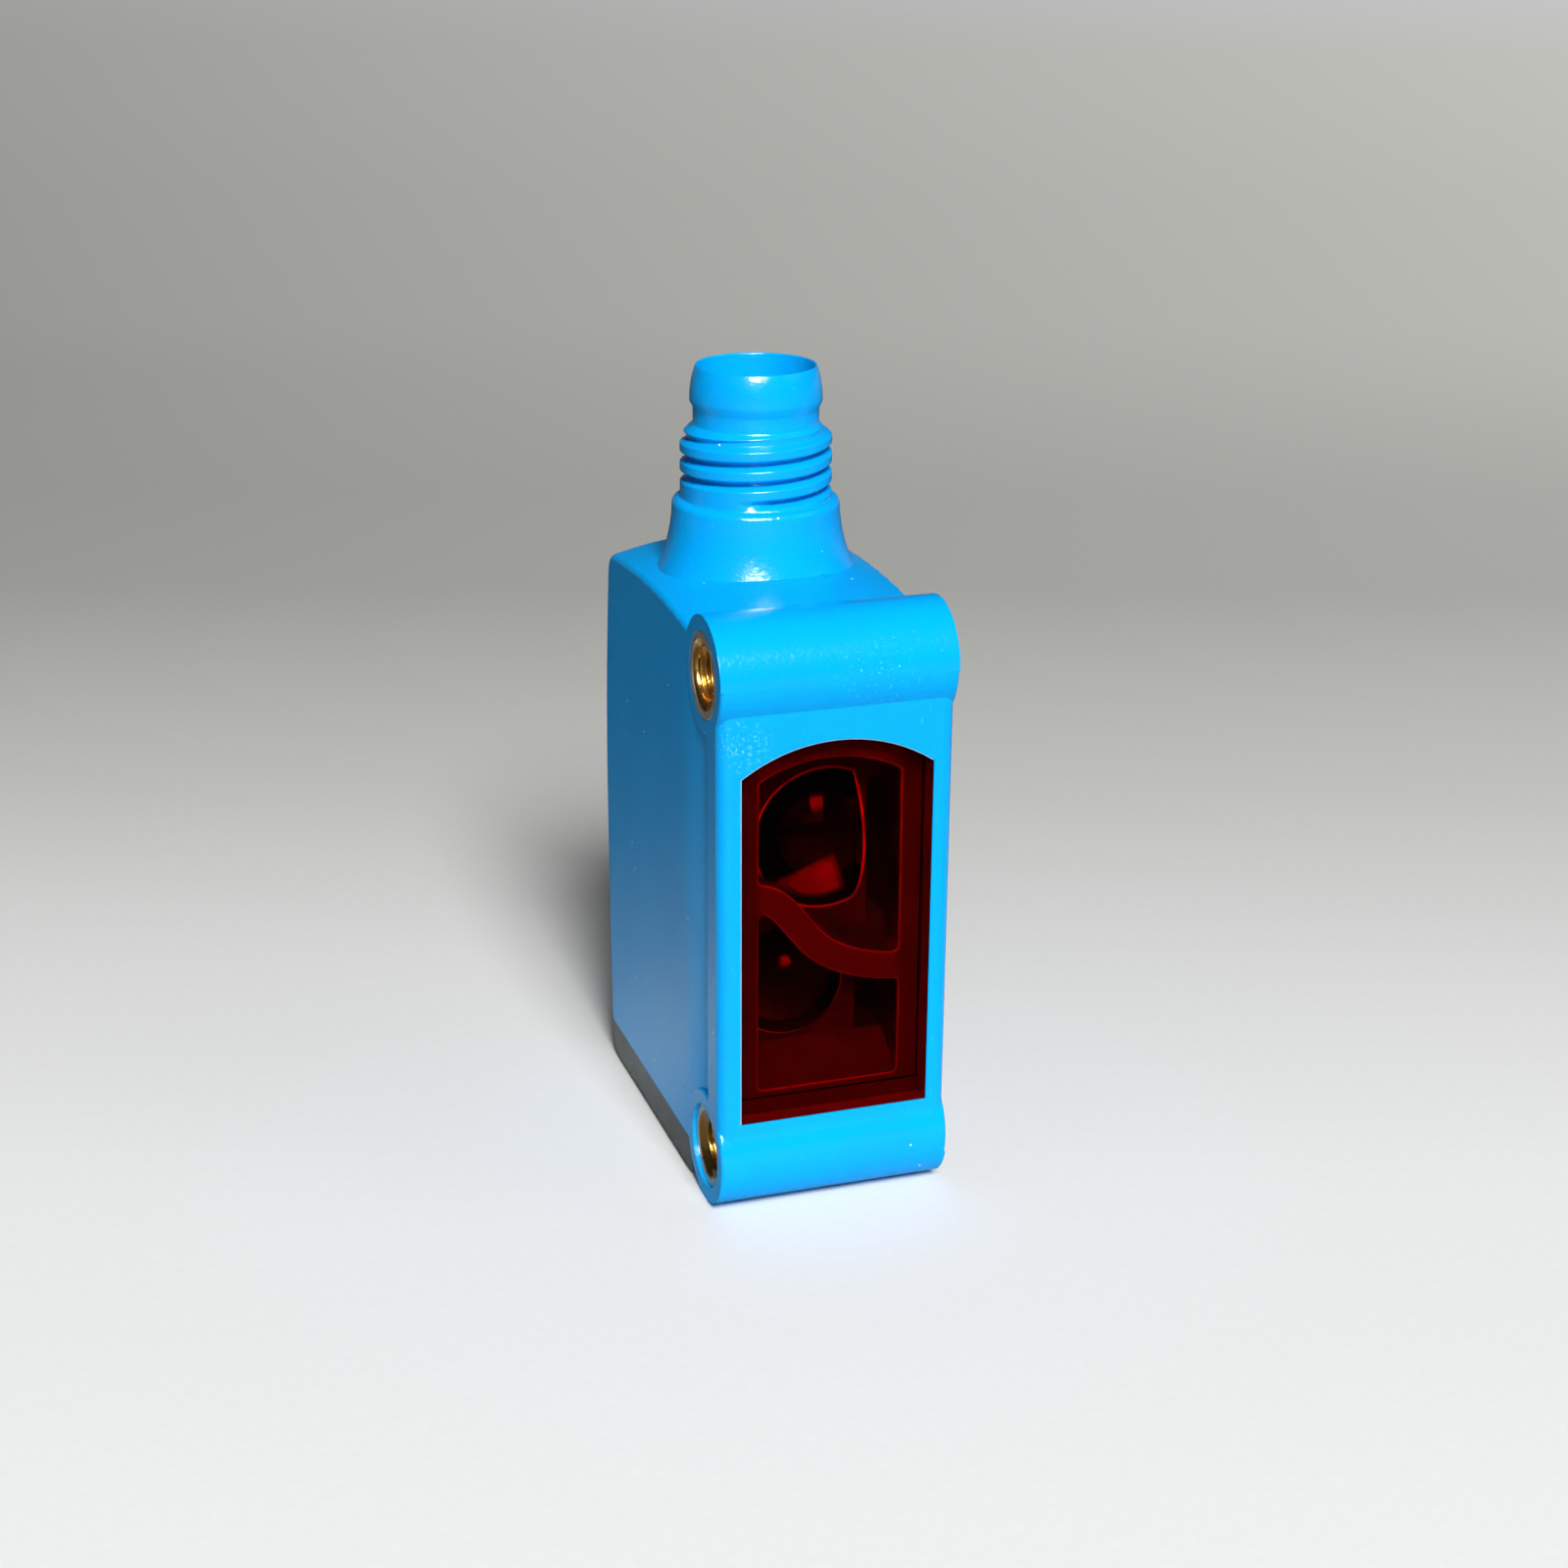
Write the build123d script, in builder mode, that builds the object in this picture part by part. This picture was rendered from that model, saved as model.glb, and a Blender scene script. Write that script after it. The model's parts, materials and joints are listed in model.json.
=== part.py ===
"""Miniature photoelectric sensor with a pin plug, standing on its indicator cap.

The optical face looks along -Y, the plug points up along +Z and the cap's
underside lies on z = 0. The origin is at the middle of the footprint.
All sizes are millimetres.
"""
import os

from build123d import *

# Body, from the front of the bosses to the rear wall
body_width = 12.2
body_depth = 21.8
crown_rise = 2.15
crown_setback = 9.0
shoulder_drop = 0.8
rear_top_inset = 1.15
rear_top_drop = 0.55
rear_top_radius = 1.3
foot_inset = 0.3
edge_radius = 0.35
wall = 1.2
ceiling = 1.56

# Mounting bosses and their threaded sleeves
hole_spacing = 25.4
boss_radius = 3.0
boss_edge_radius = 0.2
sleeve_radius = 2.2
sleeve_bore_radius = 1.25
sleeve_mouth_radius = 1.8
lower_sleeve_recess = 0.2

# Bezel around the window, and the scooped side behind it
bezel_setback = 0.35
bezel_thickness = 2.0
bezel_edge_radius = 0.65
scoop_depth = 0.5
scoop_length = 4.3
upper_crease_radius = 0.25
lower_blend_radius = 1.6

# Window, set off from both boss axes, and the opening behind it
window_side = 1.1
window_foot_rise = 2.25
window_head_drop = 3.0
window_arch_rise = 1.58
window_thickness = 1.1
window_recess = 0.05
window_gap = 0.03
ledge_width = 0.12
ledge_thickness = 0.7

# Optics carrier; the heights of its curved wall are shares of the window's height,
# and its chambers go in by shares of its depth
aperture_border = 1.2
chamber_depth_share = 0.3176
chamber_corner_radius = 0.35
divider_thickness = 1.35
divider_left_share = 0.5807
divider_middle_share = 0.4442
divider_right_share = 0.3672
chamber_sill_rise = 1.7
chamber_sill_front = 0.3
carrier_gap = 0.08
light_channel_radius = 2.05
side_pocket_wall = 0.75
side_pocket_depth_share = 0.3514
pocket_foot_gap = 1.8
pocket_head_gap = 1.1

# Lenses, placed and sized by shares of the window's height and half width
receiver_height_share = 0.6824
receiver_radius_share = 0.1861
receiver_side_share = 0.1
receiver_clip_share = 0.4
sender_height_share = 0.3052
sender_radius_share = 0.1464
sender_side_share = -0.288
lens_side_gap = 0.1
lens_edge = 0.8
lens_rise = 2.0
seat_relief = 1.1
lens_gap = 0.04

# Boards and what they carry; their spacing is a share of the body's depth, and heights
# on the main board are shares of its height
board_thickness = 0.8
board_gap = 0.15
board_spacing_share = 0.1963
board_head_gap = 0.8
optics_board_margin = 0.5
board_corner_radius = 0.4
chip_height = 0.9
led_size = 2.0
led_height = 0.5
led_dome_radius = 0.75
receiver_chip_width = 3.0
receiver_chip_height = 2.4
receiver_chip_rim = 0.4
receiver_chip_recess = 0.2
link_drop = 3.3
link_width = 5.6
link_height = 2.4
contact_hole = 0.4
contact_hole_pitch = 1.0
contact_hole_depth = 0.3
processor_share = 0.481
processor_size = 5.0
processor_chamfer = 0.15
driver_share = 0.745
driver_width = 1.6
driver_length = 2.9
driver_height = 1.1
driver_lead_reach = 0.7
driver_lead_width = 0.4
driver_lead_height = 0.2
driver_lead_pitch = 0.95
capacitor_share = 0.24
capacitor_width = 0.8
capacitor_length = 1.6
capacitor_height = 0.8
capacitor_pitch = 2.4

# Indicator cap
cap_height = 2.1
cap_floor = 1.4
cap_corner_radius = 1.5
cap_front_overlap = 0.55
cap_rear_slope = 0.15
cap_edge_radius = 0.3
cap_gap = 0.06
spigot_height = 3.1
spigot_wall = 0.9
seal_height = 0.8
seal_depth = 0.4
seal_rise = 0.9
seal_squeeze = 0.01

# Indicator lights and the guides that lead them to the underside
indicator_led_width = 1.6
indicator_led_depth = 0.9
guide_radius = 0.85
guide_collar_width = 0.35
guide_collar_height = 0.6
guide_side_gap = 2.4
guide_inset = 3.2
guide_recess = 0.1

# Sensitivity adjuster
adjuster_inset = 4.6
adjuster_radius = 1.4
adjuster_disc_radius = 1.8
adjuster_gap = 0.15
adjuster_recess = 0.4
adjuster_slot_width = 0.45
adjuster_slot_length = 2.38
adjuster_slot_depth = 0.8
adjuster_mouth_chamfer = 0.3
disc_rise = 0.9
disc_height = 0.8
collar_wall = 0.6
trimmer_size = 4.8
trimmer_corner_radius = 0.4

# Plug shell, one piece with the housing; its axis stands off the rear wall by a share of
# the body's depth, and the lengths go from the crown upwards
plug_setback_share = 0.378
cone_length = 3.85
cone_waist_rise = 1.55
cone_radius = 5.25
cone_waist_radius = 4.62
cone_neck_radius = 4.35
cone_shoulder_radius = 0.4
thread_length = 3.2
thread_radius = 3.92
thread_chamfer_height = 0.65
neck_length = 1.5
neck_radius = 3.24
bead_length = 2.1
bead_lead = 0.3
bead_crown = 1.2
bead_radius = 3.41
bead_bow = 0.06
rim_radius = 3.12
socket_radius = 2.99
socket_gap = 0.04

# Contact carrier, pins and seal
contact_rise = 1.85
contact_chamfer = 0.25
contact_flange_radius = 4.2
contact_flange = 1.4
pin_radius = 0.5
pin_tip_radius = 0.35
pin_row = 0.9
pin_columns = (0.95, 1.35)
pin_drop = 2.3
pin_tail = 2.8
ring_thickness = 0.33

half_width = body_width / 2
front_y = -body_depth / 2
rear_y = body_depth / 2
boss_y = front_y + boss_radius
lower_axis = boss_radius
upper_axis = lower_axis + hole_spacing
crown_height = upper_axis + crown_rise
crown_y = rear_y - crown_setback
bezel_y = front_y + bezel_setback
bezel_back = bezel_y + bezel_thickness
scoop_rear = bezel_back + scoop_length
foot_y = rear_y - foot_inset
rear_top_y = rear_y - rear_top_inset
rear_top_height = crown_height - rear_top_drop
belly_height = (cap_height + rear_top_height) / 2

cavity_half = half_width - wall
cavity_front = boss_y + boss_radius + 0.1
cavity_top = crown_height - ceiling
bay_foot = lower_axis + boss_radius + 0.1
bay_head = upper_axis - boss_radius - 0.1
window_back = bezel_y + window_thickness
bay_front = window_back + ledge_thickness

half_window = half_width - window_side
window_foot = lower_axis + window_foot_rise
window_crown = upper_axis - window_head_drop
window_shoulder = window_crown - window_arch_rise
window_height = window_crown - window_foot
divider_left = window_foot + divider_left_share * window_height
divider_middle = window_foot + divider_middle_share * window_height
divider_right = window_foot + divider_right_share * window_height

plug_y = rear_y - plug_setback_share * body_depth
main_board_front = plug_y - board_thickness / 2
main_board_back = plug_y + board_thickness / 2
carrier_front = window_back + window_gap
carrier_half = cavity_half - carrier_gap
carrier_back = main_board_front - board_spacing_share * body_depth
carrier_depth = carrier_back - carrier_front
chamber_depth = chamber_depth_share * carrier_depth
side_pocket_depth = side_pocket_depth_share * carrier_depth
chamber_back = carrier_front + chamber_depth
lens_back = chamber_back + lens_edge
sill_top = window_foot + aperture_border + chamber_sill_rise
pocket_right = half_window - aperture_border
lens_clip_left = lens_side_gap - pocket_right

receiver_x = receiver_side_share * half_window
receiver_z = window_foot + receiver_height_share * window_height
receiver_radius = receiver_radius_share * window_height
receiver_clip = receiver_clip_share * half_window
sender_x = sender_side_share * half_window
sender_z = window_foot + sender_height_share * window_height
sender_radius = sender_radius_share * window_height
sender_clip = sender_x + sender_radius

optics_board_back = carrier_back + board_thickness
optics_board_top = bay_head - optics_board_margin
link_z = optics_board_top - link_drop
board_half = cavity_half - board_gap
indicator_board_z = cap_height + spigot_height
indicator_board_top = indicator_board_z + board_thickness
contact_flange_z = cavity_top - contact_flange
main_board_top = contact_flange_z - board_head_gap
main_board_height = main_board_top - indicator_board_top
processor_z = indicator_board_top + processor_share * main_board_height
driver_z = indicator_board_top + driver_share * main_board_height
capacitor_z = indicator_board_top + capacitor_share * main_board_height

cone_foot = crown_height - 0.1
cone_top = crown_height + cone_length
cone_waist_height = crown_height + cone_waist_rise
thread_top = cone_top + thread_length
bead_foot = thread_top + neck_length
plug_height = bead_foot + bead_length
contact_top = crown_height + contact_rise
pin_top = plug_height - pin_drop
seal_seat_radius = socket_radius + 2 * ring_thickness

cap_front = cavity_front - cap_front_overlap
cap_rear_foot = foot_y - cap_rear_slope
guide_x = cavity_half - guide_side_gap
guide_y = cavity_front + guide_inset
adjuster_y = foot_y - adjuster_inset
disc_foot = cap_height + disc_rise
disc_top = disc_foot + disc_height
collar_top = disc_foot - adjuster_gap
trimmer_foot = disc_foot
guide_places = [(-guide_x, guide_y), (guide_x, guide_y)]
pin_places = [(side * column, plug_y + row * pin_row)
              for row, column in zip((1, -1), pin_columns) for side in (-1, 1)]
lenses = {
    "receiver_lens": (receiver_x, receiver_z, receiver_radius, receiver_clip),
    "sender_lens": (sender_x, sender_z, sender_radius, sender_clip),
}

plug_axis = Axis((0, plug_y, 0), (0, 0, 1))
plug_plane = Plane(origin=(0, plug_y, 0), x_dir=(1, 0, 0), z_dir=(0, -1, 0))

os.makedirs("parts", exist_ok=True)


def facing_front(y):
    """Plane across the sensor at depth y: local x is X and local y is Z."""
    return Plane.XZ.offset(-y)


def scoop_outline():
    """Shallow hollow in plan, deepest where it meets the bezel's step, on both sides."""
    deepest = (half_width - scoop_depth, bezel_back)
    with BuildSketch() as outline:
        with BuildLine():
            Polyline((half_width, scoop_rear), (half_width + 1, scoop_rear),
                     (half_width + 1, bezel_back), deepest)
            TangentArc((half_width, scoop_rear), deepest, tangent=(0, -1))
        make_face()
        mirror(about=Plane.YZ)
    return outline.sketch


def spigot_outline(inset):
    """Plan of the housing's open foot, drawn inside its walls by inset."""
    front = cavity_front + inset
    rear = foot_y - wall - inset
    with BuildSketch() as outline:
        with Locations((0, (front + rear) / 2)):
            Rectangle(2 * (cavity_half - inset), rear - front)
    return outline.sketch


def arch_outline(inset, foot=None):
    """Window outline drawn inside its edge by inset: straight foot, arched head."""
    radius = (half_window**2 + window_arch_rise**2) / (2 * window_arch_rise)
    centre = window_crown - radius
    half = half_window - inset
    spring = centre + ((radius - inset) ** 2 - half**2) ** 0.5
    base = window_foot + inset if foot is None else foot
    with BuildSketch() as outline:
        with BuildLine():
            Polyline((-half, spring), (-half, base), (half, base), (half, spring))
            ThreePointArc((half, spring), (0, centre + radius - inset), (-half, spring))
        make_face()
    return outline.sketch


def divider_outline():
    """S-shaped wall between the two chambers."""
    reach = half_window
    with BuildSketch() as outline:
        with BuildLine() as path:
            Spline((-reach, divider_left), (-0.58 * reach, divider_left - 0.25),
                   (-0.14 * reach, divider_middle), (0.33 * reach, divider_right + 0.25),
                   (reach, divider_right))
        trace(path.line, divider_thickness)
    return outline.sketch


def lens_outline(x, z, radius, clip_right, gap=0.0):
    """Round lens outline with its two sides cut straight."""
    left = lens_clip_left - gap
    right = clip_right + gap
    with BuildSketch() as outline:
        with Locations((x, z)):
            Circle(radius + gap)
        with Locations(((left + right) / 2, z)):
            Rectangle(right - left, 3 * radius, mode=Mode.INTERSECT)
    return outline.sketch


# Housing: one moulded shell with both bosses, the bezel and the plug shell
with BuildPart() as housing:
    with BuildSketch(Plane.YZ) as side:
        with BuildLine():
            Polyline((boss_y, crown_height - shoulder_drop), (bezel_y, upper_axis),
                     (bezel_y, lower_axis), (boss_y, cap_height), (foot_y, cap_height))
            TangentArc((rear_y, belly_height), (foot_y, cap_height), tangent=(0, -1))
            TangentArc((rear_y, belly_height), (rear_top_y, rear_top_height), tangent=(0, 1))
            ThreePointArc((boss_y, crown_height - shoulder_drop), (crown_y, crown_height),
                          (rear_top_y, rear_top_height))
        make_face()
        fillet(side.vertices().sort_by(Axis.X)[-3:].sort_by(Axis.Y)[-1], rear_top_radius)
    extrude(amount=half_width, both=True)
    rounded = housing.edges().filter_by(lambda e: abs(abs(e.center().X) - half_width) < 0.01)
    rounded = rounded.filter_by(lambda e: e.center().Z > cap_height + 1 and e.center().Y > boss_y + 1)
    fillet(rounded, edge_radius)

    # Both boss rounds run into the bezel, the lower one by a soft blend
    with BuildSketch(Plane.YZ) as bezel:
        with Locations(((bezel_y + bezel_back) / 2, (lower_axis + upper_axis) / 2)):
            Rectangle(bezel_thickness, hole_spacing)
        with Locations((boss_y, lower_axis), (boss_y, upper_axis)):
            Circle(boss_radius)
        creases = bezel.vertices().filter_by(lambda v: abs(v.X - bezel_y) < 0.01).sort_by(Axis.Y)
        fillet(creases[0], lower_blend_radius)
        fillet(creases[-1], upper_crease_radius)
    extrude(amount=half_width, both=True)

    with BuildSketch(Plane.XY.offset(cap_height)) as sides:
        add(scoop_outline())
        with Locations((half_width, bezel_y)):
            Rectangle(2 * bezel_edge_radius, 2 * bezel_edge_radius)
        with Locations((half_width - bezel_edge_radius, bezel_y + bezel_edge_radius)):
            Circle(bezel_edge_radius, mode=Mode.SUBTRACT)
        mirror(about=Plane.YZ)
    extrude(amount=upper_axis - cap_height, mode=Mode.SUBTRACT)

    # Full-width bosses with softly rounded ends
    for axis_height in (lower_axis, upper_axis):
        with BuildSketch(Plane.XY.offset(axis_height)) as boss:
            with Locations((0, boss_y - boss_radius / 2)):
                Rectangle(body_width, boss_radius)
            fillet(boss.vertices().sort_by(Axis.Y)[:2], boss_edge_radius)
        revolve(axis=Axis((0, boss_y, axis_height), (1, 0, 0)))

    # Plug shell: flared root, barrel for the fine thread, neck, latching bead and rim
    with BuildSketch(plug_plane):
        with BuildLine():
            Polyline((thread_radius, cone_top), (thread_radius, thread_top),
                     (neck_radius, thread_top + thread_chamfer_height), (neck_radius, bead_foot),
                     (bead_radius, bead_foot + bead_lead))
            ThreePointArc((bead_radius, bead_foot + bead_lead),
                          (bead_radius - bead_bow, bead_foot + bead_crown), (rim_radius, plug_height))
            Polyline((rim_radius, plug_height), (0, plug_height), (0, crown_height - 1),
                     (cone_radius, crown_height - 1), (cone_radius, cone_foot))
            ThreePointArc((cone_radius, cone_foot), (cone_waist_radius, cone_waist_height),
                          (cone_neck_radius, cone_top - cone_shoulder_radius))
            RadiusArc((cone_neck_radius, cone_top - cone_shoulder_radius),
                      (cone_neck_radius - cone_shoulder_radius, cone_top), -cone_shoulder_radius)
            Line((cone_neck_radius - cone_shoulder_radius, cone_top), (thread_radius, cone_top))
        make_face()
    revolve(axis=plug_axis)

    # Cavity for the electronics and bay for the optics
    with BuildSketch(Plane.YZ):
        with BuildLine():
            Polyline((rear_top_y - wall, cavity_top), (cavity_front, cavity_top),
                     (cavity_front, cap_height), (foot_y - wall, cap_height))
            ThreePointArc((foot_y - wall, cap_height), (rear_y - wall, belly_height),
                          (rear_top_y - wall, cavity_top))
        make_face()
    extrude(amount=cavity_half, both=True, mode=Mode.SUBTRACT)
    with BuildSketch(facing_front(bay_front)):
        with Locations((0, (bay_foot + bay_head) / 2)):
            Rectangle(2 * cavity_half, bay_head - bay_foot)
    extrude(amount=-(cavity_front - bay_front), mode=Mode.SUBTRACT)

    # Window pocket, and the opening through its ledge
    with BuildSketch(facing_front(front_y - 1)):
        add(arch_outline(0))
    extrude(amount=-(window_back - front_y + 1), mode=Mode.SUBTRACT)
    with BuildSketch(facing_front(window_back)):
        add(arch_outline(ledge_width, bay_foot))
    extrude(amount=-ledge_thickness, mode=Mode.SUBTRACT)

    # Sleeve bores through both bosses
    with BuildSketch(Plane.YZ.offset(-half_width)):
        with Locations((boss_y, lower_axis), (boss_y, upper_axis)):
            Circle(sleeve_radius)
    extrude(amount=body_width, mode=Mode.SUBTRACT)

    # Plug socket, and the seal's seat at its foot
    with BuildSketch(Plane.XY.offset(cavity_top)):
        with Locations((0, plug_y)):
            Circle(socket_radius)
    extrude(amount=plug_height - cavity_top, mode=Mode.SUBTRACT)
    with BuildSketch(Plane.XY.offset(cavity_top)):
        with Locations((0, plug_y)):
            Circle(seal_seat_radius)
    extrude(amount=3 * ring_thickness, mode=Mode.SUBTRACT)

housing.part.label = "housing"
export_step(housing.part, "parts/housing.step")

# Front window: a clear dark-red plate seated in the bezel
with BuildPart() as front_window:
    with BuildSketch(facing_front(bezel_y + window_recess)):
        add(arch_outline(window_gap))
    extrude(amount=-(window_thickness - window_recess))

front_window.part.label = "front_window"
export_step(front_window.part, "parts/front_window.step")

# Optics carrier: black moulding whose nose backs the window
with BuildPart() as optics_carrier:
    with BuildSketch(facing_front(carrier_front)):
        add(arch_outline(ledge_width + carrier_gap, bay_foot + carrier_gap))
    extrude(amount=-(bay_front + carrier_gap - carrier_front))
    with BuildSketch(facing_front(bay_front + carrier_gap)):
        with Locations((0, (bay_foot + bay_head) / 2)):
            Rectangle(2 * carrier_half, bay_head - bay_foot - 2 * carrier_gap)
    extrude(amount=-(carrier_back - bay_front - carrier_gap))

    # Both chambers, parted by the curved wall
    with BuildSketch(facing_front(carrier_front)) as chambers:
        add(arch_outline(aperture_border))
        add(divider_outline(), mode=Mode.SUBTRACT)
        fillet(chambers.vertices(), chamber_corner_radius)
    extrude(amount=-chamber_depth, mode=Mode.SUBTRACT)

    # Sloping sill under the sender
    with BuildSketch(Plane.YZ):
        with BuildLine():
            Polyline((carrier_front + chamber_sill_front, window_foot + aperture_border),
                     (chamber_back, window_foot + aperture_border),
                     (chamber_back, sill_top), close=True)
        make_face()
    extrude(amount=half_window - aperture_border, both=True)

    # Deep pockets beside both lenses
    with BuildSketch(facing_front(chamber_back)):
        for left, foot, head in ((receiver_clip, divider_right + pocket_foot_gap,
                                  receiver_z + 0.8 * receiver_radius),
                                 (sender_clip, sill_top, divider_right - pocket_head_gap)):
            pocket_left = left + side_pocket_wall
            with Locations(((pocket_left + pocket_right) / 2, (foot + head) / 2)):
                Rectangle(pocket_right - pocket_left, head - foot)
    extrude(amount=-side_pocket_depth, mode=Mode.SUBTRACT)

    # Lens seats with room for the domes, and the light channels behind them
    with BuildSketch(facing_front(chamber_back - seat_relief)):
        for place in lenses.values():
            add(lens_outline(*place, gap=lens_gap))
    extrude(amount=-(lens_edge + seat_relief), mode=Mode.SUBTRACT)
    with BuildSketch(facing_front(lens_back)):
        with Locations(*[(x, z) for x, z, radius, clip in lenses.values()]):
            Circle(light_channel_radius)
    extrude(amount=-(carrier_back - lens_back), mode=Mode.SUBTRACT)

optics_carrier.part.label = "optics_carrier"
export_step(optics_carrier.part, "parts/optics_carrier.step")

# Lenses: domed towards the window, flat behind, clipped at the sides
for name, (x, z, radius, clip) in lenses.items():
    with BuildPart() as lens:
        with BuildSketch(Plane(origin=(x, 0, z))):
            with BuildLine():
                Polyline((0, chamber_back - lens_rise), (0, lens_back), (radius, lens_back),
                         (radius, chamber_back))
                TangentArc((0, chamber_back - lens_rise), (radius, chamber_back), tangent=(1, 0))
            make_face()
        revolve(axis=Axis((x, 0, z), (0, 1, 0)))
        with BuildSketch(facing_front(lens_back)):
            add(lens_outline(x, z, radius, clip))
        extrude(amount=2 * (lens_edge + lens_rise), mode=Mode.INTERSECT)
    lens.part.label = name
    export_step(lens.part, f"parts/{name}.step")

# Sender: a square light source with a moulded dome
with BuildPart() as sender_led:
    with BuildSketch(facing_front(carrier_back)):
        with Locations((sender_x, sender_z)):
            Rectangle(led_size, led_size)
    extrude(amount=led_height)
    with BuildSketch(Plane(origin=(sender_x, 0, sender_z))):
        with BuildLine():
            base = carrier_back - led_height
            Polyline((0, base - led_dome_radius), (0, base), (led_dome_radius, base))
            TangentArc((0, base - led_dome_radius), (led_dome_radius, base), tangent=(1, 0))
        make_face()
    revolve(axis=Axis((sender_x, 0, sender_z), (0, 1, 0)))

sender_led.part.label = "sender_led"
export_step(sender_led.part, "parts/sender_led.step")

# Receiver: a flat two-zone light sensor in its package
with BuildPart() as receiver_chip:
    with BuildSketch(facing_front(carrier_back)):
        with Locations((receiver_x, receiver_z)):
            Rectangle(receiver_chip_width, receiver_chip_height)
    extrude(amount=chip_height)
    with BuildSketch(facing_front(carrier_back - chip_height)):
        with Locations((receiver_x, receiver_z)):
            Rectangle(receiver_chip_width - 2 * receiver_chip_rim,
                      receiver_chip_height - 2 * receiver_chip_rim)
    extrude(amount=-receiver_chip_recess, mode=Mode.SUBTRACT)

receiver_chip.part.label = "receiver_chip"
export_step(receiver_chip.part, "parts/receiver_chip.step")

# Optics board, closing the carrier from behind
with BuildPart() as optics_board:
    with BuildSketch(facing_front(carrier_back)) as outline:
        with Locations((0, (bay_foot + bay_head) / 2)):
            Rectangle(2 * board_half, bay_head - bay_foot - 2 * optics_board_margin)
        fillet(outline.vertices(), board_corner_radius)
    extrude(amount=-board_thickness)

optics_board.part.label = "optics_board"
export_step(optics_board.part, "parts/optics_board.step")

# Plug-in link between the two upright boards
with BuildPart() as board_link:
    with BuildSketch(facing_front(optics_board_back)):
        with Locations((0, link_z)):
            Rectangle(link_width, link_height)
    extrude(amount=-(main_board_front - optics_board_back))
    with BuildSketch(facing_front(optics_board_back)):
        with Locations((0, link_z)):
            with GridLocations(contact_hole_pitch, contact_hole_pitch, 5, 2):
                Rectangle(contact_hole, contact_hole)
    extrude(amount=-contact_hole_depth, mode=Mode.SUBTRACT)

board_link.part.label = "board_link"
export_step(board_link.part, "parts/board_link.step")

# Main board, standing on the indicator board with the plug's pins astride it
with BuildPart() as main_board:
    with BuildSketch(facing_front(main_board_front)) as outline:
        with Locations((0, (indicator_board_top + main_board_top) / 2)):
            Rectangle(2 * board_half, main_board_height)
        fillet(outline.vertices(), board_corner_radius)
    extrude(amount=-board_thickness)

main_board.part.label = "main_board"
export_step(main_board.part, "parts/main_board.step")

# Signal processor on the back of the main board
with BuildPart() as signal_processor:
    with BuildSketch(facing_front(main_board_back)):
        with Locations((0, processor_z)):
            Rectangle(processor_size, processor_size)
    extrude(amount=-chip_height)
    chamfer(signal_processor.faces().sort_by(Axis.Y)[-1].edges(), processor_chamfer)

signal_processor.part.label = "signal_processor"
export_step(signal_processor.part, "parts/signal_processor.step")

# Output driver: a small body on flat leads
with BuildPart() as output_driver:
    with BuildSketch(facing_front(main_board_back)):
        with Locations((0, driver_z)):
            with GridLocations(driver_width, driver_lead_pitch, 2, 3):
                Rectangle(2 * driver_lead_reach, driver_lead_width)
    extrude(amount=-driver_lead_height)
    with BuildSketch(facing_front(main_board_back)):
        with Locations((0, driver_z)):
            Rectangle(driver_width, driver_length)
    extrude(amount=-driver_height)

output_driver.part.label = "output_driver"
export_step(output_driver.part, "parts/output_driver.step")

# Ceramic capacitors along the main board
with BuildPart() as ceramic_capacitors:
    with BuildSketch(facing_front(main_board_back)):
        with Locations((0, capacitor_z)):
            with GridLocations(capacitor_pitch, 1, 3, 1):
                Rectangle(capacitor_width, capacitor_length)
    extrude(amount=-capacitor_height)

ceramic_capacitors.part.label = "ceramic_capacitors"
export_step(ceramic_capacitors.part, "parts/ceramic_capacitors.step")

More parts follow.
